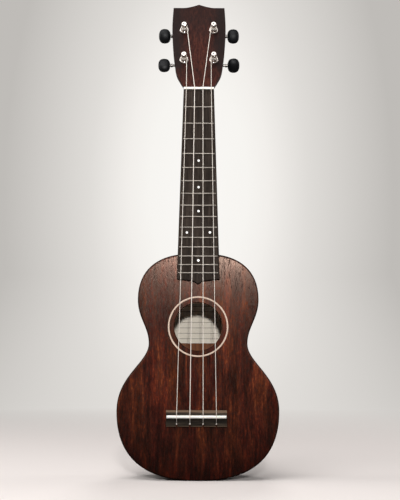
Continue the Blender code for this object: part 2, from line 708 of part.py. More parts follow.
def make_knob(name, side, turn, tuner, plastic):
    """A flattened oval button with a small collar where the shaft enters."""
    profile = [(-6.6, 3.0, 2.3), (-6.0, 4.9, 3.0), (-4.6, 6.9, 3.8), (-2.2, 8.0, 4.4),
               (0.4, 8.25, 4.6), (3.2, 7.7, 4.3), (5.4, 5.9, 3.4), (6.7, 2.8, 1.8)]
    rings = [[(side * x, wide * math.cos(2 * math.pi * j / 14), thick * math.sin(2 * math.pi * j / 14))
              for j in range(14)] for x, wide, thick in profile]
    place = (side * KNOB_CENTRE, WORM_OFFSET, -WORM_DEPTH)
    rest = (math.radians(turn), 0.0, 0.0)
    knob = solid("knob_" + name, loft(rings), plastic, tuner, place, rest, smooth=60)
    bore = shaft_shape([(side * -8.0, SHAFT_RADIUS + GAP), (side * 2.0, SHAFT_RADIUS + GAP)], 12)
    combine(knob, cutter("knob_bore_cut_" + name, bore, tuner, place), "DIFFERENCE")


def make_tuner_plate(name, tuner, nickel):
    """A screwed plate with two lugs that carry the worm."""
    high = -HEAD_THICKNESS - GAP
    low = high - TUNER_PLATE
    middle, half_long, half_wide = WORM_OFFSET / 2, 13.0, 5.5
    outline = []
    for end in (1, -1):
        for i in range(7):
            angle = math.pi * i / 6
            outline.append((end * half_wide * math.cos(angle),
                            middle + end * (half_long - half_wide + half_wide * math.sin(angle))))
    rings = [[(x, s, n) for x, s in outline] for n in (low, high)]
    plate = solid("tuner_plate_" + name, loft(rings), nickel, tuner)
    reach = 2.9
    arch = [(WORM_OFFSET + reach * math.cos(math.pi * i / 6),
             -WORM_DEPTH - reach * math.sin(math.pi * i / 6)) for i in range(7)]
    lug = [(WORM_OFFSET + reach, low + 0.5), *arch, (WORM_OFFSET - reach, low + 0.5)]
    for tag, x in (("inner", -4.9), ("outer", 4.9)):
        rings = [[(x + step, s, n) for s, n in lug] for step in (-0.6, 0.6)]
        combine(plate, cutter(f"lug_{tag}_{name}", loft(rings), tuner), "UNION")
    shaft_hole = shaft_shape([(-8.0, SHAFT_RADIUS + 0.35), (8.0, SHAFT_RADIUS + 0.35)], 12)
    place = (0, WORM_OFFSET, -WORM_DEPTH)
    combine(plate, cutter("lug_holes_cut_" + name, shaft_hole, tuner, place), "DIFFERENCE")
    post_hole = turned([(POST_RADIUS + 0.5, low - 1.0), (POST_RADIUS + 0.5, high + 1.0)], 16)
    combine(plate, cutter("post_hole_cut_" + name, post_hole, tuner), "DIFFERENCE")
    screws = turned([(1.1, low - 1.0), (1.1, high + 1.0)], 10)
    for tag, s in (("low", middle - 10.2), ("high", middle + 10.2)):
        tool = cutter(f"screw_hole_{tag}_cut_{name}", screws, tuner, (0, s, 0))
        combine(plate, tool, "DIFFERENCE")


def build():
    clear_scene()
    mahogany = look("stained_mahogany", (0.10, 0.035, 0.02), 0.35)
    rosewood = look("rosewood", (0.07, 0.05, 0.04), 0.5)
    spruce = look("spruce", (0.55, 0.40, 0.22), 0.7)
    inlay = look("pale_inlay", (0.72, 0.58, 0.45), 0.4)
    bone = look("ivory_plastic", (0.90, 0.87, 0.78), 0.35)
    nickel = look("nickel", (0.75, 0.74, 0.70), 0.22, 1.0)
    nylon = look("clear_nylon", (0.78, 0.74, 0.68), 0.3)
    black = look("black_plastic", (0.02, 0.02, 0.02), 0.3)

    frame = empty("ukulele", None, (0.0, FACE_Y, 0.0))
    head = empty("head", frame, (0.0, 0.0, HEAD_Z), math.pi / 2 - HEAD_TILT)
    make_plates(frame, mahogany)
    make_ring(frame, inlay)
    make_sides(frame, mahogany)
    make_linings(frame, spruce)
    make_blocks(frame, spruce)
    make_braces(frame, spruce)
    make_neck(frame, head, mahogany)
    make_fingerboard(frame, rosewood)
    make_frets(frame, nickel)
    make_nut(frame, bone)
    make_bridge(frame, rosewood, bone)
    make_strings(frame, nylon)
    for name, side, s, turn in TUNERS:
        tuner = empty("tuner_" + name, head, (side * POST_X, s, 0.0))
        make_bushing(name, tuner, nickel)
        make_post(name, tuner, nickel)
        make_worm(name, side, tuner, nickel)
        make_knob(name, side, turn, tuner, black)
        make_tuner_plate(name, tuner, nickel)


build()
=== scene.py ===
import math

import bmesh
import bpy
from mathutils import Matrix, Vector, kdtree


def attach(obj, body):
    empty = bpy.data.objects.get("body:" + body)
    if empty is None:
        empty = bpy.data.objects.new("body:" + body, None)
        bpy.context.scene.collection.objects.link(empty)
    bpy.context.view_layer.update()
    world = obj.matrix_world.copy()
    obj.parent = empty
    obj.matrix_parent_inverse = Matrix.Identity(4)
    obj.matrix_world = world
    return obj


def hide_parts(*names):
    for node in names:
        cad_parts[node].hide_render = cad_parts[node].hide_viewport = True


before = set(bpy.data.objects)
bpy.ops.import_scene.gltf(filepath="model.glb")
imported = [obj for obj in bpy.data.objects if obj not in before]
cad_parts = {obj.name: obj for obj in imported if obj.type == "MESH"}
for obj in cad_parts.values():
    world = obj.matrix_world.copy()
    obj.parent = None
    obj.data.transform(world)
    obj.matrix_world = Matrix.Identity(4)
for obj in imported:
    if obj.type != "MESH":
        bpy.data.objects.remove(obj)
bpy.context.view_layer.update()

# Sizes in millimetres, the same as in the part: x to the viewer's right, y from the
# soundboard's face towards the back, z up the neck from the bottom of the body
MM = 0.001
FACE_Y = -25.85
GAP = 0.3
SCALE_LENGTH = 345.0
SADDLE_SETBACK = 3.9
SADDLE_Z = 64.9
NUT_Z = SADDLE_Z + SADDLE_SETBACK + SCALE_LENGTH
FRET_COUNT = 15
BODY_LENGTH = 234.5
DEPTH_AT_TAIL = 62.0
DEPTH_AT_NECK = 55.0
PLATE = 2.0
RIB = 2.0
LOWER_BOUT = (84.4, 71.0)
WAIST = (51.7, 139.9)
UPPER_BOUT = (63.7, 186.7)
FLAT_NECK_END = 14.0
SOUNDHOLE_Z = 157.8
SOUNDHOLE_RADIUS = 25.0
RING_INNER_RADIUS = 30.1
RING_OUTER_RADIUS = 31.7
RING_GAP = 0.06
RIM_WIDTH = 40.0
BOARD_HALF_AT_NUT = 16.5
BOARD_HALF_AT_END = 22.6
BOARD_END_Z = 207.4
BOARD_TOP = -GAP - 4.0
NECK_DEPTH_AT_NUT = 14.0
NECK_DEPTH_AT_HEEL = 16.0
HEEL_DEPTH = 53.0
HEEL_TOP_Z = 277.3
FRET_WIDTH = 1.6
FRET_CROWN = 0.9
NUT_THICKNESS = 3.0
NUT_TOP = 6.9
HEAD_Z = NUT_Z + NUT_THICKNESS + 1.5
HEAD_TILT = math.radians(14.0)
HEAD_THICKNESS = 14.5
HEAD_TOP = 105.0
HEAD_PEAK = 4.6
HEAD_PEAK_HALF = 17.0
BRIDGE_X = -1.4
BRIDGE_HALF_WIDTH = 31.5
BRIDGE_FRONT_Z = 71.4
BRIDGE_REAR_Z = 54.7
SADDLE_TOP = 9.2
SADDLE_HALF_WIDTH = 30.8
SADDLE_THICKNESS = 3.0
LABEL_LINE_GAP = 6.0
LABEL_LINE_HALF = 22.0

# String name, x at the nut, x at the saddle, diameter
STRINGS = (("g", -13.5, BRIDGE_X - 20.4, 0.64), ("c", -4.5, BRIDGE_X - 6.8, 0.86),
           ("e", 4.5, BRIDGE_X + 6.8, 0.72), ("a", 13.5, BRIDGE_X + 20.4, 0.60))
# String name, side, place up the head, rest angle of the knob in degrees
TUNERS = (("g", -1, 34.8, 4.0), ("c", -1, 74.3, 28.0), ("e", 1, 74.3, 22.0), ("a", 1, 34.8, 50.0))
POST_X = 16.4
POST_RADIUS = 3.0
POST_WAIST = 2.2
TUNER_PLATE = 1.2
GEAR_TEETH = 14
GEAR_THICKNESS = 4.4
GEAR_MIDDLE_RADIUS = 3.8
GEAR_PITCH_RADIUS = 3.85
PLATE_SCREW_SPAN = 20.4
WORM_OFFSET = 5.5
WORM_DEPTH = 18.6
WORM_CORE = 1.1
WORM_TIP = 2.0
WORM_TURNS = 3.6
WORM_PITCH = 2.0 * math.pi * GEAR_PITCH_RADIUS / GEAR_TEETH
SHAFT_RADIUS = 1.4
KNOB_CENTRE = 22.7
WINDING_PITCH = 1.35
WINDING_TURNS = 2.25
WINDING_START = 4.6

# The photo's camera: its lens in pixels of the picture's height, its place and its lean
PICTURE_HEIGHT = 500.0
FOCAL_LENGTH = 856.0
LENS_SHIFT = 2.0
CAMERA_DISTANCE = 0.9
CAMERA_HEIGHT = 0.1123
CAMERA_TILT = math.radians(98.0)
CAMERA_ROLL = math.radians(-0.17)


def shift(x=0.0, y=0.0, z=0.0):
    return Matrix.Translation((x, y, z))


def turned(angle, axis):
    return Matrix.Rotation(angle, 4, axis)


QUARTER = math.pi / 2
ON_BODY = shift(y=FACE_Y * MM) @ Matrix.Scale(MM, 4)
UP_HEAD = shift(z=HEAD_Z) @ turned(QUARTER - HEAD_TILT, "X")
ON_HEAD = ON_BODY @ UP_HEAD


def rgb(red, green, blue):
    """A colour as it should look, 0 to 255, in the linear values that a shader takes."""
    shares = (red / 255.0, green / 255.0, blue / 255.0)
    return (*(c / 12.92 if c <= 0.04045 else ((c + 0.055) / 1.055) ** 2.4 for c in shares), 1.0)


# Shader helpers

def supply(tree, sockets, values):
    """Sets sockets to numbers and colours, or links them to other sockets."""
    for name, value in values.items():
        if isinstance(value, bpy.types.NodeSocket):
            tree.links.new(value, sockets[name])
        else:
            sockets[name].default_value = value


def put(tree, kind, values=None, **settings):
    """A node with its settings and its sockets."""
    node = tree.nodes.new(kind)
    for name, value in settings.items():
        setattr(node, name, value)
    supply(tree, node.inputs, values or {})
    return node


def ramp(tree, factor, *stops):
    node = put(tree, "ShaderNodeValToRGB", {"Fac": factor})
    points = node.color_ramp.elements
    for i, (place, colour) in enumerate(stops):
        point = points[i] if i < 2 else points.new(place)
        point.position = place
        point.color = colour
    return node.outputs["Color"]


def mix(tree, factor, first, second, mode="MIX"):
    node = put(tree, "ShaderNodeMix", {0: factor, 6: first, 7: second},
               data_type="RGBA", blend_type=mode)
    return node.outputs[2]


def spread(tree, value, low, high, new_low=0.0, new_high=1.0):
    node = put(tree, "ShaderNodeMapRange", {"Value": value, "From Min": low, "From Max": high,
                                            "To Min": new_low, "To Max": new_high})
    return node.outputs["Result"]


def between(tree, share, low, high):
    """The value that lies at a share of 0 to 1 between low and high."""
    return spread(tree, share, 0.0, 1.0, low, high)


def maths(tree, operation, first, second=0.0):
    return put(tree, "ShaderNodeMath", {0: first, 1: second}, operation=operation).outputs[0]


def noise(tree, vector, scale, detail=3.0, roughness=0.55, distortion=0.0):
    node = put(tree, "ShaderNodeTexNoise", {"Vector": vector, "Scale": scale, "Detail": detail,
                                            "Roughness": roughness, "Distortion": distortion})
    return node.outputs["Fac"]


def parts_of(tree, vector):
    return put(tree, "ShaderNodeSeparateXYZ", {0: vector}).outputs


def length_of(tree, vector):
    return put(tree, "ShaderNodeVectorMath", {0: vector}, operation="LENGTH").outputs["Value"]


def stretched(tree, scale=(1.0, 1.0, 1.0), source="Object"):
    """Coordinates drawn out along the grain."""
    coordinates = tree.nodes.new("ShaderNodeTexCoord").outputs[source]
    return put(tree, "ShaderNodeMapping", {"Vector": coordinates, "Scale": scale}).outputs["Vector"]


def new_finish(name):
    finish = bpy.data.materials.new(name)
    finish.use_nodes = True
    return finish, finish.node_tree


def coat(finish, colour, gloss, values, height=None, depth=0.0, strength=1.0):
    """Gives a finish its colour, its roughness, its other values and a fine relief."""
    tree = finish.node_tree
    shader = tree.nodes["Principled BSDF"].inputs
    supply(tree, shader, {"Base Color": colour, "Roughness": gloss, **values})
    if height:
        node = put(tree, "ShaderNodeBump", {"Height": height, "Distance": depth,
                                            "Strength": strength})
        tree.links.new(node.outputs["Normal"], shader["Normal"])
    return finish


def effect(name, scales, values):
    """A node group from a vector and some scales to some values, to be filled."""
    group = bpy.data.node_groups.new(name, "ShaderNodeTree")
    for socket in ("Vector", *scales):
        kind = "NodeSocketVector" if socket == "Vector" else "NodeSocketFloat"
        group.interface.new_socket(socket, in_out="INPUT", socket_type=kind)
    for socket in values:
        group.interface.new_socket(socket, in_out="OUTPUT", socket_type="NodeSocketFloat")
    return (group, group.nodes.new("NodeGroupInput").outputs,
            group.nodes.new("NodeGroupOutput").inputs)


def wood_grain():
    """Long streaks, short open pores and slow clouds, for a vector already stretched."""
    group, given, out = effect("wood grain", ("Streak scale", "Pore scale", "Cloud scale"),
                               ("Streaks", "Pores", "Clouds"))
    streaks = noise(group, given["Vector"], given["Streak scale"], 4.0, 0.6, 0.25)
    pores = noise(group, given["Vector"], given["Pore scale"], 2.0, 0.5)
    clouds = noise(group, given["Vector"], given["Cloud scale"], 2.0, 0.5, 0.6)
    supply(group, out, {"Streaks": spread(group, streaks, 0.3, 0.7),
                        "Pores": spread(group, pores, 0.56, 0.7),
                        "Clouds": spread(group, clouds, 0.3, 0.7)})
    return group


def handling_marks():
    """Smudges of touch, fine dust and thin scratches."""
    group, given, out = effect("handling marks", (), ("Smudge", "Dust", "Scratches"))
    smudge = noise(group, given["Vector"], 70.0, 4.0, 0.6, 0.8)
    dust = noise(group, given["Vector"], 2600.0, 2.0, 0.6)
    long = put(group, "ShaderNodeMapping", {"Vector": given["Vector"], "Rotation": (0.3, 0.5, 0.7),
                                            "Scale": (1.0, 0.04, 0.12)})
    lines = noise(group, long.outputs["Vector"], 3000.0, 2.0, 0.5)
    supply(group, out, {"Smudge": spread(group, smudge, 0.35, 0.7),
                        "Dust": spread(group, dust, 0.6, 0.78),
                        "Scratches": spread(group, lines, 0.62, 0.72)})
    return group


RED_STAIN = ((0.0, rgb(16, 6, 6)), (0.32, rgb(38, 15, 12)), (0.52, rgb(66, 29, 21)),
             (0.7, rgb(98, 46, 29)), (0.95, rgb(150, 80, 46)))
# Where the painted shade changes, in metres: up from the tail, and out from the head's middle
PAINTED_SHADE_FADES = (0.02, 0.1)
HEAD_SHADE_STARTS = (0.425, 0.445)
HEAD_SHADE_ASIDE = (0.006, 0.022)
HEAD_SHADE_ABOVE = (0.47, 0.505)
GRAIN = wood_grain()
MARKS = handling_marks()


def grain_on(tree, vector, streaks, pores, clouds):
    return put(tree, "ShaderNodeGroup", {"Vector": vector, "Streak scale": streaks,
                                         "Pore scale": pores, "Cloud scale": clouds},
               node_tree=GRAIN).outputs


def marks_on(tree):
    return put(tree, "ShaderNodeGroup", {"Vector": stretched(tree)}, node_tree=MARKS).outputs


# Finishes

def stained_mahogany(name, scale, source="Object", panel=False, shine=1.0):
    """Red-brown stain under a satin lacquer: short flecks and pores in long mottled patches. On the
    panels, painted shade darkens the lower body and lines the edge.
    """
    finish, tree = new_finish(name)
    along = stretched(tree, scale, source)
    grain = grain_on(tree, along, 460.0, 1300.0, 110.0)
    short = stretched(tree, [max(share, 0.34) for share in scale], source)
    flecks = spread(tree, noise(tree, short, 620.0, 3.0, 0.65), 0.3, 0.7)
    tone = maths(tree, "ADD", between(tree, grain["Streaks"], 0.0, 0.28),
                 between(tree, grain["Clouds"], 0.0, 0.38))
    tone = maths(tree, "ADD", tone, between(tree, flecks, 0.0, 0.34))
    drift = noise(tree, along, 75.0, 2.0, 0.5, 0.4)
    tint = ramp(tree, drift, (0.36, rgb(255, 230, 238)), (0.5, rgb(255, 255, 252)),
                (0.64, rgb(250, 255, 230)))
    colour = mix(tree, 1.0, ramp(tree, tone, *RED_STAIN), tint, "MULTIPLY")
    colour = mix(tree, between(tree, grain["Pores"], 0.0, 0.6), colour, rgb(26, 11, 9))
    dull = maths(tree, "ADD", between(tree, flecks, 0.13, -0.06),
                 between(tree, grain["Pores"], 0.0, 0.22))
    if panel:
        edge = put(tree, "ShaderNodeAttribute", attribute_name="rim").outputs["Fac"]
        # painted shade: a thin dark line where the edge rounds over, and round the soundhole
        line = ramp(tree, edge, (0.0, rgb(70, 56, 54)), (0.05, rgb(255, 255, 255)))
        colour = mix(tree, 1.0, colour, line, "MULTIPLY")
        # painted shade: the panel's lower part darker, most of all near its edge, fading out
        # upwards
        height = parts_of(tree, stretched(tree))["Z"]
        low = maths(tree, "MULTIPLY", spread(tree, height, *PAINTED_SHADE_FADES, 1.0, 0.0),
                    spread(tree, edge, 0.1, 1.0, 1.0, 0.5))
        colour = mix(tree, low, colour, mix(tree, 1.0, colour, rgb(138, 108, 112), "MULTIPLY"))
        dull = maths(tree, "ADD", dull, spread(tree, edge, 0.0, 0.06, 0.45, 0.0))
    satin = 0.3 - 0.13 * shine
    gloss = maths(tree, "ADD", dull, between(tree, marks_on(tree)["Smudge"], satin, satin + 0.05))
    relief = maths(tree, "SUBTRACT", between(tree, grain["Streaks"], 0.0, 0.35), grain["Pores"])
    return coat(finish, colour, gloss, {"Specular IOR Level": 0.2 * shine, "Anisotropic": 0.68,
                                        "Specular Tint": rgb(255, 216, 194)},
                relief, 0.00005, 0.5)


def stained_neck(name):
    """The neck's quieter straight grain, with painted shade that makes the head almost black
    towards its edges and darker at its top.
    """
    finish, tree = new_finish(name)
    grain = grain_on(tree, stretched(tree, (1.0, 1.0, 0.05)), 520.0, 1900.0, 120.0)
    colour = ramp(tree, grain["Streaks"], (0.0, rgb(40, 20, 17)), (0.5, rgb(64, 32, 26)),
                  (1.0, rgb(86, 45, 34)))
    flat = parts_of(tree, stretched(tree))
    aside = maths(tree, "ADD", maths(tree, "ABSOLUTE", flat["X"]),
                  between(tree, grain["Clouds"], -0.003, 0.003))
    # painted shade: the head darker towards its edges and its top
    on_head = spread(tree, flat["Z"], *HEAD_SHADE_STARTS)
    dark = maths(tree, "MAXIMUM", spread(tree, aside, *HEAD_SHADE_ASIDE, 0.0, 0.9),
                 spread(tree, flat["Z"], *HEAD_SHADE_ABOVE, 0.0, 0.6))
    colour = mix(tree, maths(tree, "MULTIPLY", on_head, dark), colour, rgb(32, 25, 24))
    colour = mix(tree, between(tree, grain["Pores"], 0.0, 0.6), colour, rgb(26, 14, 12))
    return coat(finish, colour, between(tree, marks_on(tree)["Smudge"], 0.36, 0.46),
                {"Specular IOR Level": 0.04}, grain["Streaks"], 0.00004, 0.5)


def raw_wood(name, light, dark, scale, streak_scale=260.0, source="Object"):
    """Bare timber inside the soundbox: no lacquer, open pores."""
    finish, tree = new_finish(name)
    grain = grain_on(tree, stretched(tree, scale, source), streak_scale, 1500.0, 40.0)
    colour = ramp(tree, grain["Streaks"], (0.0, dark), (1.0, light))
    colour = mix(tree, between(tree, grain["Pores"], 0.0, 0.45), colour, dark)
    return coat(finish, colour, between(tree, grain["Clouds"], 0.62, 0.8), {},
                grain["Pores"], 0.00006, -0.6)


def oiled_rosewood(name, scale, light, mid, dark, pale_band_heights=None):
    """Dark open-pored rosewood with purple-black lines. Where pale bands are given, there is a
    painted highlight on the up-facing front slope and a paler strip along the rear edge.
    """
    finish, tree = new_finish(name)
    grain = grain_on(tree, stretched(tree, scale), 420.0, 2100.0, 70.0)
    colour = ramp(tree, grain["Streaks"], (0.0, dark), (0.45, mid), (1.0, light))
    colour = mix(tree, spread(tree, grain["Clouds"], 0.2, 1.0, 0.0, 0.5), colour, dark)
    colour = mix(tree, between(tree, grain["Pores"], 0.0, 0.7), colour, rgb(20, 15, 13))
    if pale_band_heights:
        # painted highlight on the front slope, which faces up to the lamps; a paler strip along the
        # rear edge
        height = maths(tree, "ADD", parts_of(tree, stretched(tree))["Z"],
                       between(tree, grain["Streaks"], -0.0003, 0.0003))
        pale = maths(tree, "MAXIMUM", spread(tree, height, pale_band_heights[0], pale_band_heights[0] - 0.0006),
                     spread(tree, height, pale_band_heights[1], pale_band_heights[1] + 0.0006))
        colour = mix(tree, maths(tree, "MULTIPLY", pale, 0.7), colour, rgb(126, 103, 84))
    return coat(finish, colour, between(tree, marks_on(tree)["Smudge"], 0.55, 0.7),
                {"Specular IOR Level": 0.03}, grain["Pores"], 0.00008, -0.6)


def plated_nickel(name, colour, dull, rough=0.16):
    """Nickel plate: smudged, finely scratched and a little tarnished."""
    finish, tree = new_finish(name)
    marks = marks_on(tree)
    shade = mix(tree, between(tree, marks["Smudge"], 0.0, 0.4), colour, dull)
    gloss = maths(tree, "ADD", between(tree, marks["Smudge"], rough, rough + 0.14),
                  between(tree, marks["Scratches"], 0.0, 0.12))
    return coat(finish, shade, gloss, {"Metallic": 1.0}, marks["Scratches"], 0.000004, -0.5)


def black_plastic(name):
    """Moulded plastic with a soft shine, dust and faint flow marks."""
    finish, tree = new_finish(name)
    marks = marks_on(tree)
    colour = mix(tree, between(tree, marks["Smudge"], 0.0, 0.6), rgb(9, 10, 12), rgb(17, 19, 22))
    colour = mix(tree, between(tree, marks["Dust"], 0.0, 0.1), colour, rgb(86, 86, 84))
    return coat(finish, colour, between(tree, marks["Smudge"], 0.42, 0.56),
                {"Specular IOR Level": 0.18}, marks["Smudge"], 0.00004, 0.4)


def clouded(name, scale, pattern, colours, gloss, values, relief=0.0):
    """A pale finish with one fine noise in its colour, its shine and its relief."""
    finish, tree = new_finish(name)
    cloud = noise(tree, stretched(tree, scale), *pattern)
    return coat(finish, ramp(tree, cloud, *colours), spread(tree, cloud, 0.3, 0.7, *gloss), values,
                cloud if relief else None, 0.00002, relief)


def ruled_paper(name):
    """Cream paper with plain ruled lines."""
    finish, tree = new_finish(name)
    flat = stretched(tree)
    fibres = noise(tree, flat, 800.0, 4.0, 0.7)
    colour = ramp(tree, fibres, (0.3, rgb(230, 220, 202)), (0.7, rgb(246, 237, 222)))
    parts = parts_of(tree, flat)
    rows = maths(tree, "FRACT", maths(tree, "MULTIPLY", parts["Z"], 1.0 / (LABEL_LINE_GAP * MM)))
    off_line = maths(tree, "ABSOLUTE", maths(tree, "SUBTRACT", rows, 0.5))
    line = spread(tree, off_line, 0.035, 0.055, 1.0, 0.0)
    reach = LABEL_LINE_HALF * MM
    inside = spread(tree, maths(tree, "ABSOLUTE", parts["X"]), reach, reach + 0.0005, 1.0, 0.0)
    colour = mix(tree, maths(tree, "MULTIPLY", line, inside), colour, rgb(150, 138, 122))
    return coat(finish, colour, 0.85, {}, fibres, 0.00003, 0.3)


EVEN = (1.0, 1.0, 1.0)
UPRIGHT = (1.0, 1.0, 0.055)
MOTTLED = (1.0, 1.0, 0.14)
CROSSWISE = (0.06, 1.0, 1.0)
BARE = (rgb(132, 74, 30), rgb(96, 48, 16))
top_finish = stained_mahogany("stained mahogany soundboard", MOTTLED, panel=True)
back_finish = stained_mahogany("stained mahogany back", MOTTLED, panel=True)
rib_finish = stained_mahogany("stained mahogany sides", (0.1, 1.0, 1.0), "UV", shine=0.4)
neck_finish = stained_neck("stained mahogany neck")
bare_mahogany = raw_wood("bare mahogany inside", *BARE, UPRIGHT)
bare_rib = raw_wood("bare mahogany inside the sides", *BARE, (0.055, 1.0, 1.0), source="UV")
bare_spruce = raw_wood("bare spruce", rgb(222, 190, 140), rgb(192, 152, 102), CROSSWISE, 500.0)
board_finish = oiled_rosewood("dry rosewood fingerboard", UPRIGHT, rgb(72, 62, 55),
                              rgb(54, 46, 41), rgb(38, 32, 28))
# the bridge's pale bands: a painted highlight on the front slope and a paler strip at the rear edge
bridge_finish = oiled_rosewood("dark rosewood bridge", CROSSWISE, rgb(84, 72, 61),
                               rgb(56, 49, 42), rgb(34, 30, 27),
                               ((BRIDGE_REAR_Z + 1.1) * MM, (BRIDGE_FRONT_Z - 2.5) * MM))
fret_metal = plated_nickel("drawn nickel fret wire", rgb(134, 127, 119), rgb(104, 97, 90), 0.36)
shaft_metal = plated_nickel("dull steel peg shafts", rgb(112, 108, 104), rgb(82, 77, 72), 0.3)
tuner_metal = plated_nickel("nickel plated tuners", rgb(204, 194, 188), rgb(156, 146, 140))
button_black = black_plastic("black moulded buttons")
# Nut and saddle, with faint drawn lines along the bar
ivory = clouded("ivory white nut and saddle", (0.05, 1.0, 1.0), (1400.0, 3.0, 0.6),
                ((0.3, rgb(248, 243, 232)), (0.7, rgb(254, 251, 245))), (0.3, 0.42),
                {"Subsurface Weight": 0.12, "Subsurface Radius": (0.002, 0.0015, 0.001)}, 0.4)
# Nearly white, slightly cloudy
nylon = clouded("pale nylon strings", (1.0, 1.0, 0.1), (900.0, 2.0),
                ((0.3, rgb(232, 219, 207)), (0.7, rgb(247, 238, 228))), (0.24, 0.36),
                {"Subsurface Weight": 0.2, "Subsurface Radius": (0.001, 0.001, 0.001)})
# A strip of pale wood with a warm cast
ring_finish = clouded("pale ring inlay", EVEN, (900.0, 4.0, 0.6),
                      ((0.25, rgb(194, 166, 144)), (0.5, rgb(214, 188, 168)),
                       (0.8, rgb(232, 211, 194))), (0.32, 0.45), {"Specular IOR Level": 0.2}, 0.3)
# Layers that shift between white, grey and a little green and pink
pearl_finish = clouded("pearl dots", EVEN, (700.0, 3.0, 0.6, 2.5),
                       ((0.3, rgb(206, 214, 208)), (0.5, rgb(246, 244, 240)),
                        (0.7, rgb(230, 214, 212))), (0.16, 0.3), {"Coat Weight": 0.5})
label_finish = ruled_paper("cream label paper")


# Modelling helpers

def chain(bm, points, closed=True):
    """Vertices through points, joined by edges."""
    verts = [bm.verts.new(point) for point in points]
    after = verts[1:] + verts[:1] if closed else verts[1:]
    return verts, [bm.edges.new(pair) for pair in zip(verts, after)]


def grow(bm, verts, points, closed=True):
    """Extrudes a row of vertices and moves the new row on to its points."""
    after = verts[1:] + verts[:1] if closed else verts[1:]
    edges = [bm.edges.get(pair) for pair in zip(verts, after)]
    made = bmesh.ops.extrude_edge_only(bm, edges=edges)["geom"]
    fresh = {v.co.to_tuple(5): v for v in made if isinstance(v, bmesh.types.BMVert)}
    row = [fresh[v.co.to_tuple(5)] for v in verts]
    for vert, point in zip(row, points):
        vert.co = point
    return row


def outward(bm):
    bmesh.ops.recalc_face_normals(bm, faces=bm.faces)
    return bm


def loft(rows):
    """A closed solid through rows of equal count."""
    bm = bmesh.new()
    first, _ = chain(bm, rows[0])
    last = first
    for row in rows[1:]:
        last = grow(bm, last, row)
    bm.faces.new(first)
    bm.faces.new(last)
    return outward(bm)


def slab(points, push):
    """A face through points, extruded by push."""
    bm = bmesh.new()
    face = bm.faces.new([bm.verts.new(point) for point in points])
    made = bmesh.ops.extrude_face_region(bm, geom=[face])["geom"]
    moved = [v for v in made if isinstance(v, bmesh.types.BMVert)]
    bmesh.ops.translate(bm, verts=moved, vec=push)
    return outward(bm)


def block(low, high):
    bm = bmesh.new()
    bmesh.ops.create_cube(bm, size=1.0)
    size = [b - a for a, b in zip(low, high)]
    bmesh.ops.scale(bm, vec=size, verts=bm.verts)
    bmesh.ops.translate(bm, vec=[(a + b) / 2 for a, b in zip(low, high)], verts=bm.verts)
    return bm


def half_turn(steps):
    return [math.pi * i / steps for i in range(steps + 1)]


def lathe(profile, steps=48, bored=False):
    """Spins (radius, height) pairs about z. A bored profile is a closed loop."""
    bm = bmesh.new()
    verts, edges = chain(bm, [(r, 0.0, h) for r, h in profile], bored)
    bmesh.ops.spin(bm, geom=verts + edges, cent=(0, 0, 0), axis=(0, 0, 1), dvec=(0, 0, 0),
                   angle=2.0 * math.pi, steps=steps, use_merge=True)
    bmesh.ops.remove_doubles(bm, verts=bm.verts, dist=1e-4)
    return outward(bm)


def rod(radius, low, high, steps):
    return lathe([(0.0, low), (radius, low), (radius, high), (0.0, high)], steps)


def ease(bm, edges, radius, segments=3):
    bmesh.ops.bevel(bm, geom=edges, offset=radius, offset_type="OFFSET", segments=segments,
                    profile=0.5, affect="EDGES", material=-1, clamp_overlap=True)
    return bm


def ease_corners(bm, where, radius, segments=3, least=60.0):
    """Rounds the edges sharper than least degrees, in the place that where picks."""
    return ease(bm, [e for e in bm.edges if len(e.link_faces) == 2
                     and e.calc_face_angle(0.0) > math.radians(least)
                     and where((e.verts[0].co + e.verts[1].co) / 2)], radius, segments)


def bar(profile, half, level, radius, segments=3):
    """One profile of (z, y) pairs drawn across the body, its ends rounded above a level."""
    bm = slab([(-half, y, z) for z, y in profile], (2 * half, 0.0, 0.0))
    return ease_corners(bm, lambda p: abs(p.x) > half - 0.01 and p.y < level, radius, segments)


def moved(bm, place):
    bmesh.ops.transform(bm, matrix=place, verts=bm.verts)
    return bm


def mesh_of(bm, name="work"):
    mesh = bpy.data.meshes.new(name)
    bm.to_mesh(mesh)
    bm.free()
    return mesh


def placed(name, data):
    """A new object in the scene."""
    obj = bpy.data.objects.new(name, data)
    bpy.context.scene.collection.objects.link(obj)
    return obj


def joined(parts):
    """Several meshes in one, each left whole."""
    whole = bmesh.new()
    for part in parts:
        mesh = mesh_of(part)
        whole.from_mesh(mesh)
        bpy.data.meshes.remove(mesh)
    return whole


def worked(bm, tools, operation="DIFFERENCE"):
    """The solid after each tool is cut from it or joined to it."""
    solid, *helpers = [placed("work", mesh_of(shape)) for shape in (bm, *tools)]
    for helper in helpers:
        step = solid.modifiers.new("work", "BOOLEAN")
        step.operation = operation
        step.object = helper
        step.solver = "EXACT"
    bpy.context.view_layer.update()
    shaped = solid.evaluated_get(bpy.context.evaluated_depsgraph_get())
    done = bmesh.new()
    done.from_mesh(shaped.to_mesh())
    shaped.to_mesh_clear()
    for obj in (solid, *helpers):
        mesh = obj.data
        bpy.data.objects.remove(obj)
        bpy.data.meshes.remove(mesh)
    return done


def piece(name, bm, place, finishes, body="instrument", stands_for=(), smooth=35.0):
    """A finished piece: its mesh in its place, its finish, its body and the CAD it stands for."""
    mesh = mesh_of(moved(bm, place), name)
    mesh.shade_smooth()
    mesh.set_sharp_from_angle(angle=math.radians(smooth))
    for finish in finishes if isinstance(finishes, tuple) else (finishes,):
        mesh.materials.append(finish)
    obj = placed(name, mesh)
    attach(obj, body)
    if stands_for:
        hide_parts(*stands_for)


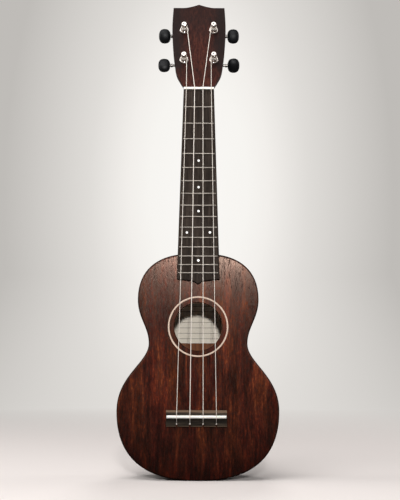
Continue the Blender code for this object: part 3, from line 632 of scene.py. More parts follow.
def smooth_rows(knots, steps):
    """Points on a smooth curve through knots of any width, steps to each span."""
    rows = []
    for i in range(len(knots) - 1):
        a, b, c, d = (Vector(knots[max(0, min(len(knots) - 1, i + k))]) for k in (-1, 0, 1, 2))
        for j in range(steps):
            t = j / steps
            rows.append(0.5 * (2 * b + (c - a) * t + (2 * a - 5 * b + 4 * c - d) * t * t
                               + (3 * b - a - 3 * c + d) * t ** 3))
    rows.append(Vector(knots[-1]))
    return rows


# Soundbox

def bezier(p0, p1, p2, p3, steps):
    points = []
    for i in range(1, steps + 1):
        t = i / steps
        u = 1.0 - t
        points.append(tuple(u ** 3 * a + 3 * u * u * t * b + 3 * u * t * t * c + t ** 3 * d
                            for a, b, c, d in zip(p0, p1, p2, p3)))
    return points


def half_outline():
    """Right half of the body seen from the front, from the tail to the neck."""
    bx, bz = LOWER_BOUT
    wx, wz = WAIST
    ux, uz = UPPER_BOUT
    points = [(0.0, 0.0)]
    points += bezier((0.0, 0.0), (24.0, 0.0), (bx, bz - 68.5), (bx, bz), 34)
    points += bezier((bx, bz), (bx, bz + 36.0), (wx, wz - 19.6), (wx, wz), 22)
    points += bezier((wx, wz), (wx, wz + 17.3), (ux, uz - 20.3), (ux, uz), 16)
    points += bezier((ux, uz), (ux, uz + 46.0), (FLAT_NECK_END + 6.0, BODY_LENGTH),
                     (FLAT_NECK_END, BODY_LENGTH), 22)
    points.append((0.0, BODY_LENGTH))
    return points


RIGHT_HALF = half_outline()
OUTLINE = RIGHT_HALF + [(-x, z) for x, z in reversed(RIGHT_HALF[1:-1])]


def back_face(z):
    return DEPTH_AT_TAIL + (DEPTH_AT_NECK - DEPTH_AT_TAIL) * z / BODY_LENGTH


def outline_tree():
    """For the distance of any point to the body's edge."""
    tree = kdtree.KDTree(len(OUTLINE) * 4)
    for i, (x, z) in enumerate(OUTLINE):
        nx, nz = OUTLINE[(i + 1) % len(OUTLINE)]
        for k in range(4):
            tree.insert((x + (nx - x) * k / 4, 0.0, z + (nz - z) * k / 4), i * 4 + k)
    tree.balance()
    return tree


EDGE_TREE = outline_tree()


def from_edge(point):
    return EDGE_TREE.find((point[0], 0.0, point[2]))[2]


def mark_rim(bm):
    """Each vertex's distance from the body's edge, 1 at RIM_WIDTH, for the painted shade at the
    rim. The soundhole's edge is set to 0 and gets the same painted dark line.
    """
    layer = bm.verts.layers.float.new("rim")
    for vert in bm.verts:
        vert[layer] = min(from_edge(vert.co) / RIM_WIDTH, 1.0)
        if math.hypot(vert.co.x, vert.co.z - SOUNDHOLE_Z) < SOUNDHOLE_RADIUS + 0.6:
            vert[layer] = 0.0


def panel():
    """A thin board of the body's outline, its outer face at y 0 with rows inside its edge."""
    bm = slab([(x, 0.0, z) for x, z in OUTLINE], (0.0, PLATE, 0.0))
    outer = next(f for f in bm.faces if len(f.verts) == len(OUTLINE) and f.normal.y < 0)
    for step in (2.4, 2.6, 5.0, 10.0):
        bmesh.ops.inset_region(bm, faces=[outer], thickness=step, use_even_offset=True)
    rounded = [e for e in bm.edges if all(abs(v.co.y) < 1e-5 and from_edge(v.co) < 0.05
                                          for v in e.verts)]
    ease(bm, rounded, 1.5, 5)
    return bm


def make_soundboard():
    bm = panel()
    big = [f for f in bm.faces if len(f.verts) == len(OUTLINE)]
    rims = {round(f.calc_center_median().y, 3): list(f.edges) for f in big}
    bmesh.ops.delete(bm, geom=big, context="FACES_ONLY")
    far = RING_OUTER_RADIUS + 1.5
    hole = SOUNDHOLE_RADIUS
    inner, outer = RING_INNER_RADIUS - RING_GAP, RING_OUTER_RADIUS + RING_GAP
    groove = [(far, 0.0), (outer, 0.0), (outer, 1.0), (inner, 1.0), (inner, 0.0),
              (hole + 0.5, 0.0), (hole + 0.15, 0.15), (hole, 0.5), (hole, PLATE), (far, PLATE)]
    verts, edges = chain(bm, [(r, y, SOUNDHOLE_Z) for r, y in groove], False)
    bmesh.ops.spin(bm, geom=verts + edges, cent=(0, 0, SOUNDHOLE_Z), axis=(0, 1, 0),
                   dvec=(0, 0, 0), angle=2.0 * math.pi, steps=120, use_merge=True)
    for level, rim in rims.items():
        circle = [e for e in bm.edges if e.is_boundary and all(
            abs(v.co.y - level) < 1e-3
            and abs(math.hypot(v.co.x, v.co.z - SOUNDHOLE_Z) - far) < 1e-2 for v in e.verts)]
        bmesh.ops.triangle_fill(bm, use_beauty=True, use_dissolve=False, edges=rim + circle,
                                normal=(0.0, -1.0, 0.0))
    outward(bm)
    mark_rim(bm)
    for face in bm.faces:
        centre = face.calc_center_median()
        in_hole = math.hypot(centre.x, centre.z - SOUNDHOLE_Z) < SOUNDHOLE_RADIUS + 0.2
        if centre.y > PLATE - 0.01 or in_hole:
            face.material_index = 1
    piece("soundboard", bm, ON_BODY, (top_finish, bare_mahogany),
          stands_for=("top_plate",), smooth=20.0)


def make_back():
    bm = panel()
    mark_rim(bm)
    for face in bm.faces:
        if face.calc_center_median().y > PLATE - 0.01:
            face.material_index = 1
    for vert in bm.verts:
        vert.co.y = back_face(vert.co.z) - vert.co.y
    outward(bm)
    piece("back_board", bm, ON_BODY, (back_finish, bare_mahogany),
          stands_for=("back_plate",), smooth=30.0)


def make_sides():
    """Two bent ribs, with coordinates that follow the bend for the grain."""
    for name, sign in (("left", -1.0), ("right", 1.0)):
        bm = bmesh.new()
        line = [(0.02, 0.0), *RIGHT_HALF[1:-1], (0.02, BODY_LENGTH)]
        rows = []
        for share in (0.0, 0.01, 0.25, 0.5, 0.75, 0.99, 1.0):
            rows.append([(sign * x, PLATE + (back_face(z) - 2 * PLATE) * share, z)
                         for x, z in line])
        verts, _ = chain(bm, rows[0], False)
        grid = [verts]
        for row in rows[1:]:
            verts = grow(bm, verts, row, False)
            grid.append(verts)
        travel, lengths = 0.0, {}
        for column in range(len(line)):
            if column:
                travel += (Vector(line[column]) - Vector(line[column - 1])).length
            for row in grid:
                lengths[row[column]] = travel
        layer = bm.loops.layers.uv.new("bend")
        for face in bm.faces:
            for loop in face.loops:
                loop[layer].uv = (lengths[loop.vert] * MM, loop.vert.co.y * MM)
        outward(bm)
        middle = Vector((0.0, 30.0, 100.0))
        sample = min(bm.faces, key=lambda f: abs(f.calc_center_median().z - 70.0))
        if sample.normal.dot(sample.calc_center_median() - middle) < 0:
            bmesh.ops.reverse_faces(bm, faces=bm.faces)
        outer = set(bm.faces)
        bmesh.ops.solidify(bm, geom=list(bm.faces), thickness=RIB)
        for face in bm.faces:
            inner = face.normal.dot(Vector((face.calc_center_median().x, 0, 0))) < 0
            face.material_index = 0 if face in outer and not inner else 1
        outward(bm)
        piece("bent_side_" + name, bm, ON_BODY, (rib_finish, bare_rib),
              stands_for=("side_" + name,), smooth=30.0)


def make_ring():
    """Inlay strip with rounded arrises, let into its groove a hair proud of the board."""
    inner, outer = RING_INNER_RADIUS, RING_OUTER_RADIUS
    profile = [(inner, -0.01), (inner + 0.06, 0.03), (outer - 0.06, 0.03), (outer, -0.01),
               (outer, -0.88), (inner, -0.88)]
    place = ON_BODY @ shift(z=SOUNDHOLE_Z) @ turned(QUARTER, "X")
    piece("ring_inlay", lathe(profile, 144, True), place, ring_finish,
          stands_for=("soundhole_ring",))


def make_label():
    low, high, half = 142.0, 191.3, 30.0
    bm = slab([(-half, 0.0, low), (half, 0.0, low), (half, 0.0, high), (-half, 0.0, high)],
              (0.0, -0.12, 0.0))
    for vert in bm.verts:
        vert.co.y += back_face(vert.co.z) - PLATE - 0.01
    piece("paper_label", bm, ON_BODY, label_finish)


# Neck, fingerboard, frets and nut

def board_half_width(z):
    share = (NUT_Z - z) / (NUT_Z - BOARD_END_Z)
    return BOARD_HALF_AT_NUT + (BOARD_HALF_AT_END - BOARD_HALF_AT_NUT) * share


def fret_z(number):
    return NUT_Z - SCALE_LENGTH * (1.0 - 2.0 ** (-number / 12.0))


def head_half_width(s):
    """Half width of the headstock: a quick flare behind the nut, then a gentle curve."""
    knots = ((-8.0, 16.6), (0.0, 16.7), (9.8, 21.0), (18.5, 24.6), (33.0, 26.9),
             (49.0, 28.7), (77.0, 30.0), (105.0, 28.9), (120.0, 27.4))
    for i in range(1, len(knots) - 2):
        (s0, w0), (s1, w1), (s2, w2), (s3, w3) = knots[i - 1:i + 3]
        if s <= s2 or i == len(knots) - 3:
            t = (s - s1) / (s2 - s1)
            m1 = (w2 - w0) / (s2 - s0) * (s2 - s1)
            m2 = (w3 - w1) / (s3 - s1) * (s2 - s1)
            return ((2 * t ** 3 - 3 * t * t + 1) * w1 + (t ** 3 - 2 * t * t + t) * m1
                    + (3 * t * t - 2 * t ** 3) * w2 + (t ** 3 - t * t) * m2)
    return knots[-1][1]


def head_top(x):
    share = max(0.0, 1.0 - abs(x) / HEAD_PEAK_HALF)
    return HEAD_TOP + HEAD_PEAK * share ** 1.5


def head_point(x, s, n):
    return Vector((x, s * math.sin(HEAD_TILT) - n * math.cos(HEAD_TILT),
                   HEAD_Z + s * math.cos(HEAD_TILT) + n * math.sin(HEAD_TILT)))


SECTION_STEPS = 36


def section(front, back, half_width, squareness, cap=1.0):
    """Straight front row, then a rounded back row over the same places across."""
    across = [math.sin(math.pi * (i / SECTION_STEPS - 0.5)) for i in range(SECTION_STEPS + 1)]
    ring = [Vector((half_width * x, *front(half_width * x))) for x in across]
    for x in reversed(across[1:-1]):
        v = min(1.0, cap * (1.0 - abs(x) ** squareness) ** (1.0 / squareness))
        (y0, z0), (y1, z1) = front(half_width * x), back(half_width * x)
        ring.append(Vector((half_width * x, y0 + (y1 - y0) * v, z0 + (z1 - z0) * v)))
    return ring


def shaft_section(z):
    rise = max(0.0, (HEEL_TOP_Z - z) / (HEEL_TOP_Z - BODY_LENGTH - GAP))
    straight = (NUT_Z - z) / (NUT_Z - BODY_LENGTH)
    depth = NECK_DEPTH_AT_NUT + (NECK_DEPTH_AT_HEEL - NECK_DEPTH_AT_NUT) * straight
    depth += (HEEL_DEPTH - depth) * rise ** 3
    return section(lambda x: (0.0, z), lambda x: (depth, z), board_half_width(z),
                   2.2 - 0.55 * rise, 1.0 + 0.09 * rise)


def head_section(s):
    """Across the head: the neck's round back fades out behind the flare."""
    face, rear = head_point(0.0, s, 0.0)[1:], head_point(0.0, s, -HEAD_THICKNESS)[1:]
    squareness = 9.0 - 6.3 * max(0.0, 1.0 - s / 25.0) ** 0.6
    return section(lambda x: face, lambda x: rear, head_half_width(s), squareness)


def above_head():
    """What is cut away over the head's upper edge and its small peak."""
    peak = round(HEAD_PEAK_HALF)
    edge = [(x, head_top(x)) for x in range(-peak, peak + 1)]
    outline = [(-40.0, HEAD_TOP), *edge, (40.0, HEAD_TOP), (40.0, HEAD_TOP + 20.0),
               (-40.0, HEAD_TOP + 20.0)]
    waste = slab([(x, s, 4.0) for x, s in outline], (0.0, 0.0, -HEAD_THICKNESS - 8.0))
    return moved(waste, UP_HEAD)


def make_neck():
    rows = [shaft_section(BODY_LENGTH + 0.05 + (HEEL_TOP_Z - BODY_LENGTH) * (i / 18) ** 1.4)
            for i in range(19)]
    rows += [shaft_section(z) for z in (290.0, 310.0, 335.0, 360.0, 380.0, 396.0, 406.0)]
    rows.append(section(lambda x: (0.0, NUT_Z - 0.5), lambda x: (NECK_DEPTH_AT_NUT, NUT_Z - 2.5),
                        board_half_width(NUT_Z - 0.5), 2.6))
    rows.append(section(lambda x: (0.0, HEAD_Z), lambda x: head_point(0, 0, -14.1)[1:],
                        head_half_width(0.0), 2.7))
    for s in (2.0, 4.0, 6.0, 8.0, 10.0, 12.0, 14.5, 17.0, 20.0, 22.5, 25.0, 28.0, 33.0, 39.0,
              46.0, 54.0, 63.0, 72.0, 81.0, 90.0, 97.0, 103.0, 114.0):
        rows.append(head_section(s))
    bm = outward(worked(loft(rows), [above_head()]))
    tip = HEAD_Z + 20.0 * math.cos(HEAD_TILT)
    ease_corners(bm, lambda p: p.z > tip, 0.8, least=50.0)
    tight, wide, rear = POST_RADIUS + 0.5, POST_RADIUS + 1.3, -HEAD_THICKNESS - 2.0
    profile = [(0.0, rear), (tight, rear), (tight, -6.5), (wide, -6.5), (wide, 2.0), (0.0, 2.0)]
    bm = worked(bm, [moved(lathe(profile, 32), UP_HEAD @ shift(side * POST_X, s))
                     for _, side, s, _ in TUNERS])
    piece("carved_neck", bm, ON_BODY, neck_finish, stands_for=("neck",), smooth=32.0)


def make_fingerboard():
    half, end = BOARD_HALF_AT_NUT, BOARD_HALF_AT_END
    nib = [(x, BOARD_END_Z - drop) for x, drop in (
        (-6.4, 1.7), (-3.0, 3.0), (-1.2, 4.4), (0.0, 4.9), (1.2, 4.4), (3.0, 3.0), (6.4, 1.7))]
    outline = [(half, NUT_Z), (-half, NUT_Z), (-end, BOARD_END_Z), *nib, (end, BOARD_END_Z)]
    bm = slab([(x, BOARD_TOP, z) for x, z in outline], (0.0, -BOARD_TOP, 0.0))
    ease_corners(bm, lambda p: p.y < BOARD_TOP + 0.01, 0.45)
    slots = []
    for number in range(1, FRET_COUNT + 1):
        z = fret_z(number)
        reach = board_half_width(z) - 0.9
        slots.append(block((-reach, BOARD_TOP - 1.0, z - 0.32),
                           (reach, BOARD_TOP + 2.4, z + 0.32)))
    piece("rosewood_fingerboard", worked(bm, [joined(slots)]), ON_BODY, board_finish,
          stands_for=("fingerboard",))


def make_frets():
    """A polished half-round crown with ends filed to a slope, and a tang."""
    half = FRET_WIDTH / 2
    arc = half_turn(14)
    for number in range(1, FRET_COUNT + 1):
        z = fret_z(number)
        reach = board_half_width(z) - 1.1
        rows = [(reach - inset, size)
                for inset, size in ((0.0, 0.45), (0.12, 0.74), (0.35, 0.92), (0.8, 1.0))]
        stations = [(-x, size) for x, size in rows] + [(x, size) for x, size in reversed(rows)]
        crown = [[(x, BOARD_TOP - FRET_CROWN * size * math.sin(a) - 0.01,
                   z + half * (0.7 + 0.3 * size) * math.cos(a)) for a in arc]
                 for x, size in stations]
        tang = block((-reach, BOARD_TOP - 0.2, z - 0.25), (reach, BOARD_TOP + 2.1, z + 0.25))
        piece(f"fret_wire_{number:02d}", worked(loft(crown), [tang], "UNION"), ON_BODY,
              fret_metal, stands_for=(f"fret_{number:02d}",), smooth=40.0)


def make_dots():
    """One in the middle of each marked space, two in the 11th, a hair proud of the board."""
    profile = [(0.0, -1.2), (1.35, -1.2), (1.35, 0.0), (1.25, 0.05), (0.8, 0.08), (0.0, 0.09)]
    dots = [(5, 0.0), (7, 0.0), (9, 0.0), (11, -12.2), (11, 12.2), (14, 0.0)]
    for number, (space, x) in enumerate(dots, 1):
        z = (fret_z(space) + fret_z(space - 1)) / 2
        place = ON_BODY @ shift(x, BOARD_TOP, z) @ turned(QUARTER, "X")
        piece(f"pearl_dot_{number}", lathe(profile, 28), place, pearl_finish)


def make_nut():
    """A bar that slopes down towards the head, with a slot for each string."""
    rear, top = NUT_THICKNESS, -NUT_TOP
    profile = [(0.0, 0.0), (rear, 0.0), (rear, top + 1.9), (rear - 0.35, top + 1.05),
               (rear - 0.9, top + 0.4), (rear - 1.5, top + 0.1), (0.9, top), (0.35, top + 0.12),
               (0.0, top + 0.55)]
    bm = bar([(NUT_Z + z, y) for z, y in profile], BOARD_HALF_AT_NUT, -2.0, 0.35)
    slots = []
    for _, x, _, wide in STRINGS:
        reach = wide / 2 + 0.12
        low = top + 1.0 - wide / 2 + 0.02
        place = shift(x, low + 0.12, NUT_Z + 0.6) @ turned(math.radians(-8.0), "X")
        slots.append(moved(rod(reach, -4.0, 4.0, 16), place))
        slots.append(block((x - reach, top - 1.0, NUT_Z - 1.0),
                           (x + reach, low + 0.1, NUT_Z + NUT_THICKNESS + 1.0)))
    piece("ivory_nut", worked(bm, slots), ON_BODY, ivory, stands_for=("nut",))


# Bridge, saddle and strings

def make_bridge():
    """A block with the saddle's slot, and behind it a slot and a pocket for each knot."""
    front, rear = BRIDGE_FRONT_Z, BRIDGE_REAR_Z
    slot_low = SADDLE_Z - SADDLE_THICKNESS / 2 - 0.1
    slot_high = SADDLE_Z + SADDLE_THICKNESS / 2 + 0.1
    profile = [(front, 0.0), (front, -2.0), (front - 0.6, -3.3), (front - 1.8, -4.7),
               (front - 3.0, -5.6), (slot_high + 1.0, -6.0), (slot_high, -6.0),
               (slot_high, -3.1), (slot_low, -3.1), (slot_low, -6.0), (slot_low - 0.8, -5.9),
               (slot_low - 1.5, -5.2), (slot_low - 2.2, -4.5), (rear + 1.4, -4.2),
               (rear + 0.4, -3.8), (rear, -3.0), (rear, 0.0)]
    bm = moved(bar(profile, BRIDGE_HALF_WIDTH, -1.0, 0.5), shift(BRIDGE_X))
    cuts = []
    for _, _, x, wide in STRINGS:
        reach = wide / 2 + 0.3
        cuts.append(block((x - reach, -6.5, rear - 2.0), (x + reach, -2.0, rear + 5.7)))
        cuts.append(block((x - 2.1, -3.0, rear - 2.0), (x + 2.1, 1.0, rear + 5.4)))
    piece("rosewood_bridge", worked(bm, cuts), ON_BODY, bridge_finish,
          stands_for=("bridge",), smooth=28.0)


def make_saddle():
    half = SADDLE_THICKNESS / 2
    arch = [(half * math.cos(a), -SADDLE_TOP + 1.2 - 1.2 * math.sin(a)) for a in half_turn(14)]
    profile = [(half, -3.15), *arch, (-half, -3.15)]
    bm = bar([(SADDLE_Z + z, y) for z, y in profile], SADDLE_HALF_WIDTH, -6.4, 0.9, 4)
    piece("ivory_saddle", bm, ON_BODY @ shift(BRIDGE_X), ivory, stands_for=("saddle",))


def string_route(name, nut_x, saddle_x, diameter):
    """Centre line from the knot in the bridge, over saddle and nut, round the post."""
    radius = diameter / 2
    over_saddle = -SADDLE_TOP - GAP - radius
    over_nut = -NUT_TOP + 1.0 - radius
    rear = BRIDGE_REAR_Z
    behind = [(-1.5, rear + 3.0), (-1.6, rear + 3.7), (-2.3, rear + 4.4), (-3.8, rear + 4.7),
              (-5.0, rear + 5.1), (over_saddle + 0.55, SADDLE_Z - 1.6),
              (over_saddle + 0.05, SADDLE_Z - 0.5)]
    route = smooth_rows([(saddle_x, y, z) for y, z in behind], 4)
    route += [Vector((saddle_x, over_saddle, SADDLE_Z + 0.4)),
              Vector((nut_x, over_nut, NUT_Z + 0.8)), Vector((nut_x, over_nut + 0.15, NUT_Z + 2.4))]
    side, post_s = next((side, s) for tuner, side, s, _ in TUNERS if tuner == name)
    turn_radius = POST_WAIST + 0.4 + radius
    centre = Vector((side * POST_X, post_s))
    leaving = Vector((nut_x, (NUT_Z + 2.4 - HEAD_Z) / math.cos(HEAD_TILT)))
    reach = centre - leaving
    swing = side * math.asin(turn_radius / reach.length)
    start = math.atan2(reach.y, reach.x) + swing + side * QUARTER
    steps = round(WINDING_TURNS * 40)
    for i in range(steps + 1):
        angle = start - side * 2.0 * math.pi * WINDING_TURNS * i / steps
        rise = WINDING_START + WINDING_PITCH * WINDING_TURNS * i / steps
        route.append(head_point(centre.x + turn_radius * math.cos(angle),
                                centre.y + turn_radius * math.sin(angle), rise))
    return route


def make_strings():
    for name, nut_x, saddle_x, diameter in STRINGS:
        route = string_route(name, nut_x, saddle_x, diameter)
        curve = bpy.data.curves.new("nylon_string_" + name, "CURVE")
        curve.dimensions = "3D"
        curve.bevel_depth = diameter / 2 * MM
        curve.bevel_resolution = 3
        curve.use_fill_caps = True
        spline = curve.splines.new("POLY")
        spline.points.add(len(route) - 1)
        for point, place in zip(spline.points, route):
            point.co = (*(ON_BODY @ place), 1.0)
        spline.use_smooth = True
        curve.materials.append(nylon)
        obj = placed("nylon_string_" + name, curve)
        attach(obj, "instrument")
        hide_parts("string_" + name)
        knot = lathe([(diameter * share, height) for share, height in (
            (0.4, -1.0), (1.0, -0.8), (1.25, 0.0), (1.0, 0.8), (0.4, 1.0))], 20)
        bmesh.ops.holes_fill(knot, edges=knot.edges)
        place = ON_BODY @ shift(saddle_x, -1.4, BRIDGE_REAR_Z + 2.9)
        piece("string_knot_" + name, outward(knot), place, nylon)


# Tuners

def make_bushing(name, place):
    """Pressed ferrule: a flange on the head's face and a rolled lip round the post."""
    outside = [(5.25, GAP - 0.28), (5.28, 0.7), (5.15, 1.15), (4.85, 1.65), (4.5, 1.98),
               (4.15, 2.1), (3.8, 2.05), (3.5, 1.75), (3.36, 1.3), (3.36, -6.0), (4.0, -6.0),
               (4.0, GAP - 0.28)]
    piece("ferrule_" + name, lathe(outside, 56, True), place, tuner_metal,
          stands_for=("bushing_" + name,), smooth=40.0)


def make_post(name, place):
    low = -WORM_DEPTH - GEAR_THICKNESS / 2
    waist = smooth_rows([(3.0, 3.2), (2.75, 3.55), (2.3, 3.95), (2.2, 4.6), (2.2, 8.6),
                         (2.3, 9.25), (2.75, 9.65), (3.0, 10.0)], 3)
    profile = [(0.0, low - 0.3), (1.9, low - 0.3), (1.9, low + 0.6), (3.0, low + 0.7),
               *[tuple(p) for p in waist], (3.0, 11.5), (2.93, 12.0), (2.7, 12.35),
               (2.3, 12.5), (1.15, 12.5), (0.85, 12.35), (0.6, 12.0), (0.0, 11.85)]
    hole = moved(rod(0.6, -4.0, 4.0, 16), shift(z=8.4) @ turned(QUARTER, "Y"))
    piece("winding_post_" + name, worked(lathe(profile, 48), [hole]), place, tuner_metal,
          body="post_" + name, stands_for=("string_post_" + name,), smooth=40.0)


def make_gear(name, place):
    """Twisted teeth that follow the worm, held by a slotted screw."""
    slope = WORM_PITCH / (2.0 * math.pi * (WORM_OFFSET - GEAR_MIDDLE_RADIUS))
    rows = []
    for i in range(5):
        level = GEAR_THICKNESS * (i / 4 - 0.5)
        row = []
        for tooth in range(GEAR_TEETH):
            middle = QUARTER + (tooth + 0.5) * 2.0 * math.pi / GEAR_TEETH
            middle += slope * level / GEAR_MIDDLE_RADIUS
            for radius, half in ((3.15, -0.38), (3.6, -0.3), (4.0, -0.21), (4.08, -0.1),
                                 (4.08, 0.1), (4.0, 0.21), (3.6, 0.3), (3.15, 0.38)):
                angle = middle + half / radius
                row.append((radius * math.cos(angle), radius * math.sin(angle), level))
        rows.append(row)
    piece("gear_" + name, loft(rows), place @ shift(z=-WORM_DEPTH), tuner_metal,
          body="post_" + name, smooth=30.0)
    low = -WORM_DEPTH - GEAR_THICKNESS / 2
    head = lathe([(0.0, 0.0), (1.85, 0.0), (1.85, 0.35), (1.7, 0.7), (1.3, 0.98), (0.7, 1.12),
                  (0.0, 1.16)], 32)
    slot = block((-3.0, -0.22, 0.6), (3.0, 0.22, 2.0))
    there = place @ shift(z=low - 0.02) @ turned(math.pi, "X")
    piece("gear_screw_" + name, worked(head, [slot]), there, tuner_metal,
          body="post_" + name)


def make_worm(name, side, place):
    """Worm, shaft and the thick collar, all turning together."""
    there = place @ shift(y=WORM_OFFSET, z=-WORM_DEPTH)
    profile = [(0.0, -7.0), (0.9, -7.0), (1.25, -6.8), (SHAFT_RADIUS, -6.5), (SHAFT_RADIUS, -3.9),
               (WORM_CORE, -3.7), (WORM_CORE, 3.7), (SHAFT_RADIUS, 3.9), (SHAFT_RADIUS, 13.1),
               (1.8, 13.15), (2.0, 13.35), (2.0, 15.35), (1.8, 15.55), (SHAFT_RADIUS, 15.6),
               (SHAFT_RADIUS, KNOB_CENTRE + 1.5), (0.0, KNOB_CENTRE + 1.5)]
    piece("peg_shaft_" + name, lathe(profile, 32), there @ turned(side * QUARTER, "Y"),
          shaft_metal, body="peg_" + name, stands_for=("worm_shaft_" + name,),
          smooth=40.0)
    steps = round(WORM_TURNS * 28)
    rows = []
    for i in range(steps + 1):
        angle = math.pi + 2.0 * math.pi * WORM_TURNS * (i / steps - 0.5)
        x = WORM_PITCH * (angle - math.pi) / (2.0 * math.pi)
        fade = min(1.0, i / 9, (steps - i) / 9)
        tip = WORM_CORE + 0.1 + (WORM_TIP - WORM_CORE - 0.1) * fade
        rows.append([(x + across, r * math.cos(angle), r * math.sin(angle))
                     for across, r in ((-0.42, 0.85), (-0.2, tip - 0.06), (-0.12, tip),
                                       (0.12, tip), (0.2, tip - 0.06), (0.42, 0.85))])
    piece("worm_thread_" + name, loft(rows), there, tuner_metal,
          body="peg_" + name, smooth=40.0)


def make_knob(name, side, turn, place):
    """Flat oval button, thicker in its middle, with a short neck where the shaft enters."""
    knots = [(-6.6, 2.2, 1.9), (-6.55, 2.9, 2.3), (-6.2, 4.2, 2.75), (-5.4, 5.9, 3.35),
             (-4.0, 7.25, 4.0), (-2.0, 8.0, 4.4), (0.4, 8.2, 4.55), (3.0, 7.75, 4.3),
             (5.0, 6.3, 3.6), (6.1, 4.3, 2.6), (6.5, 2.8, 1.8), (6.65, 1.2, 0.9)]
    rows = []
    for x, wide, thick in smooth_rows(knots, 3):
        rows.append([(side * x, wide * math.cos(2 * math.pi * j / 44),
                      thick * math.sin(2 * math.pi * j / 44)) for j in range(44)])
    there = (place @ shift(side * KNOB_CENTRE, WORM_OFFSET, -WORM_DEPTH)
             @ turned(math.radians(turn), "X"))
    piece("button_" + name, loft(rows), there, button_black, body="peg_" + name,
          stands_for=("knob_" + name,), smooth=60.0)


def make_tuner_plate(name, place):
    """Stamped plate with two upright lugs, screwed to the back of the head."""
    high = -HEAD_THICKNESS - 0.02
    low = -HEAD_THICKNESS - GAP - TUNER_PLATE
    middle, half_long, half_wide = WORM_OFFSET / 2, 13.0, 5.5
    outline = [(end * half_wide * math.cos(angle),
                middle + end * (half_long - half_wide + half_wide * math.sin(angle)), high)
               for end in (1, -1) for angle in half_turn(18)]
    bm = slab(outline, (0.0, 0.0, low - high))
    ease_corners(bm, lambda p: p.z < low + 0.01, 0.35)
    reach = 2.9
    lugs = []
    for x in (-5.5, 4.3):
        arch = [(x, WORM_OFFSET + reach * math.cos(a), -WORM_DEPTH - reach * math.sin(a))
                for a in half_turn(16)]
        lug = slab([(x, WORM_OFFSET + reach, low + 0.5), *arch,
                    (x, WORM_OFFSET - reach, low + 0.5)], (1.2, 0.0, 0.0))
        lugs.append(ease_corners(lug, lambda p: p.z < low - 1.0, 0.18, 2))
    screws = (middle - PLATE_SCREW_SPAN / 2, middle + PLATE_SCREW_SPAN / 2)
    through = (low - 1.0, high + 1.0)
    holes = [moved(rod(SHAFT_RADIUS + 0.3, -8.0, 8.0, 28),
                   shift(y=WORM_OFFSET, z=-WORM_DEPTH) @ turned(QUARTER, "Y")),
             rod(POST_RADIUS + 0.5, *through, 32),
             *[moved(rod(1.1, *through, 20), shift(y=s)) for s in screws]]
    piece("geared_plate_" + name, worked(worked(bm, lugs, "UNION"), holes), place, tuner_metal,
          stands_for=("tuner_plate_" + name,))
    for end, s in zip(("low", "high"), screws):
        head = lathe([(0.0, -3.0), (1.0, -3.0), (1.0, 0.0), (1.95, 0.0), (1.9, 0.3), (1.6, 0.68),
                      (1.0, 0.95), (0.0, 1.05)], 28)
        slot = block((-3.0, -0.2, 0.45), (3.0, 0.2, 2.0))
        there = place @ shift(y=s, z=low) @ turned(math.pi, "X") @ turned(0.4 + s, "Z")
        piece(f"plate_screw_{end}_{name}", worked(head, [slot]), there, tuner_metal)


def make_tuners():
    for name, side, s, turn in TUNERS:
        place = ON_HEAD @ shift(side * POST_X, s)
        make_bushing(name, place)
        make_post(name, place)
        make_gear(name, place)
        make_worm(name, side, place)
        make_knob(name, side, turn, place)
        make_tuner_plate(name, place)


def finish_inside():
    """Bare timber on the linings, blocks and braces that stay as they are."""
    mahogany = ("front_lining_left", "front_lining_right", "back_lining_left",
                "back_lining_right", "neck_block", "tail_block")
    spruce = ("upper_top_brace", "lower_top_brace", "upper_back_brace", "lower_back_brace",
              "bridge_patch")
    for nodes, finish in ((mahogany, bare_mahogany), (spruce, bare_spruce)):
        for node in nodes:
            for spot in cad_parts[node].material_slots:
                spot.material = finish


# Studio

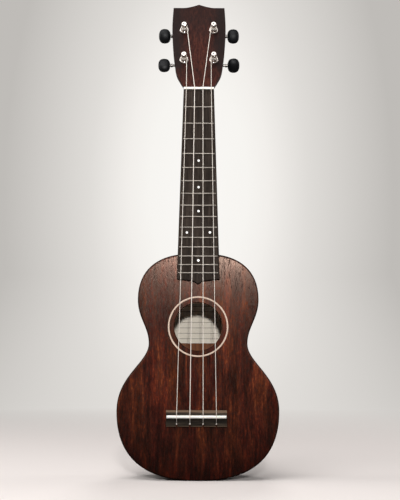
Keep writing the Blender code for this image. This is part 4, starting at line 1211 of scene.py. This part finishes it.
def studio_paper():
    """Pale paper: lit by the lamps near the instrument, with painted shade towards the front where
    the lamps stand, and an uneven painted glow on the far wall, brightest in the middle and darker
    outwards.
    """
    finish, tree = new_finish("pale studio paper")
    place = tree.nodes.new("ShaderNodeTexCoord").outputs["Object"]
    parts = parts_of(tree, place)
    ray = tree.nodes.new("ShaderNodeLightPath").outputs
    seen = maths(tree, "MAXIMUM", ray["Is Camera Ray"], ray["Is Transmission Ray"])
    mirrored = maths(tree, "MAXIMUM",
                     spread(tree, maths(tree, "ABSOLUTE", parts["X"]), 0.8, 1.9, 0.14, 1.0),
                     spread(tree, parts["Z"], 0.8, 1.8, 0.14, 1.0))
    seen = maths(tree, "MAXIMUM", seen, maths(tree, "MULTIPLY", ray["Is Glossy Ray"], mirrored))
    # painted shade: the lit paper darker towards the front, under the lamps
    pale = mix(tree, spread(tree, parts["Y"], -0.8, -0.25), rgb(190, 184, 180), rgb(238, 230, 226))
    mottle = noise(tree, place, 1.4, 2.0)
    coat(finish, mix(tree, seen, rgb(84, 82, 80), pale), spread(tree, mottle, 0.3, 0.7, 0.85, 0.95),
         {"Specular IOR Level": 0.1})
    # painted light: the far paper glows, brightest in the middle behind the instrument and darker
    # towards its sides, top and bottom
    aside = maths(tree, "MULTIPLY", parts["X"], spread(tree, parts["Z"], 0.0, 0.45, 0.7, 1.0))
    above = maths(tree, "MULTIPLY", maths(tree, "SUBTRACT", parts["Z"], 0.8), 0.45)
    spot = put(tree, "ShaderNodeCombineXYZ", {"X": aside, "Z": above}).outputs["Vector"]
    glow = ramp(tree, length_of(tree, spot), (0.0, rgb(250, 248, 245)), (0.18, rgb(247, 245, 241)),
                (0.26, rgb(242, 239, 235)), (0.4, rgb(223, 220, 216)), (0.55, rgb(208, 205, 201)),
                (0.7, rgb(191, 188, 184)))
    light = put(tree, "ShaderNodeEmission", {"Color": glow, "Strength": 1.0}).outputs["Emission"]
    far = maths(tree, "MULTIPLY", seen, spread(tree, length_of(tree, place), 0.5, 1.7))
    lit = tree.nodes["Principled BSDF"].outputs["BSDF"]
    both = put(tree, "ShaderNodeMixShader", {0: far, 1: lit, 2: light}).outputs["Shader"]
    tree.links.new(both, tree.nodes["Material Output"].inputs["Surface"])
    return finish


# Lamp name, place, what it points at, side of its square in metres, power in watts
LAMPS = (("key_lamp", (0.055, -1.5, 0.48), (0.0, 0.0, 0.2), 0.09, 14.0),
         ("soft_box", (-0.35, -0.75, 1.25), (0.0, 0.0, 0.1), 1.15, 14.2),
         ("left_lamp", (-1.3, 0.0, 0.9), (0.0, 0.0, 0.2), 0.6, 5.5),
         ("right_lamp", (1.5, 0.4, 0.8), (0.0, 0.0, 0.2), 0.6, 4.0),
         ("rear_lamp", (0.3, 1.8, 1.6), (0.0, 0.1, 0.1), 0.9, 15.0))
ROOM_RADIUS = 2.2
ROOM_CURVE = 0.5
ROOM_HEIGHT = 2.6
ROOM_MIDDLE = Vector((0.0, 0.0, 1.2))
AIR_LIGHT = 0.12


def make_studio():
    """A round pale room whose floor curves up into its wall, soft lamps and the camera."""
    flat = ROOM_RADIUS - ROOM_CURVE
    line = [(0.0, 0.0), (0.5, 0.0), (1.1, 0.0), (flat, 0.0)]
    line += [(flat + ROOM_CURVE * math.sin(a), ROOM_CURVE - ROOM_CURVE * math.cos(a))
             for a in half_turn(24)[1:13]]
    line += [(ROOM_RADIUS, 1.6), (ROOM_RADIUS, ROOM_HEIGHT)]
    bm = lathe(line, 96)
    bmesh.ops.reverse_faces(bm, faces=[f for f in bm.faces if f.normal.dot(
        ROOM_MIDDLE - f.calc_center_median()) < 0])
    mesh = mesh_of(bm, "studio_room")
    mesh.shade_smooth()
    mesh.materials.append(studio_paper())
    room = placed("studio_room", mesh)
    for name, spot, target, size, power in LAMPS:
        data = bpy.data.lights.new(name, "AREA")
        data.shape = "SQUARE"
        data.size = size
        data.energy = power
        lamp = placed(name, data)
        lamp.location = spot
        lamp.rotation_euler = (Vector(target) - Vector(spot)).to_track_quat("-Z", "Y").to_euler()
        lamp.visible_camera = False
    world = bpy.data.worlds.new("studio air")
    world.use_nodes = True
    background = world.node_tree.nodes["Background"].inputs
    background["Color"].default_value = rgb(240, 238, 235)
    background["Strength"].default_value = AIR_LIGHT
    bpy.context.scene.world = world

    lens = bpy.data.cameras.new("studio_camera")
    lens.sensor_width = 36.0
    lens.lens = lens.sensor_width * FOCAL_LENGTH / PICTURE_HEIGHT
    lens.shift_x = LENS_SHIFT / PICTURE_HEIGHT
    lens.clip_start = 0.01
    camera = placed("studio_camera", lens)
    camera.location = (0.0, FACE_Y * MM - CAMERA_DISTANCE, CAMERA_HEIGHT)
    camera.rotation_euler = (CAMERA_TILT, CAMERA_ROLL, 0.0)
    bpy.context.scene.camera = camera
    bpy.context.scene.view_settings.view_transform = "Standard"


for make in (make_soundboard, make_back, make_sides, make_ring, make_label, make_neck,
             make_fingerboard, make_frets, make_dots, make_nut, make_bridge, make_saddle,
             make_strings, make_tuners, finish_inside, make_studio):
    make()

bpy.context.view_layer.update()
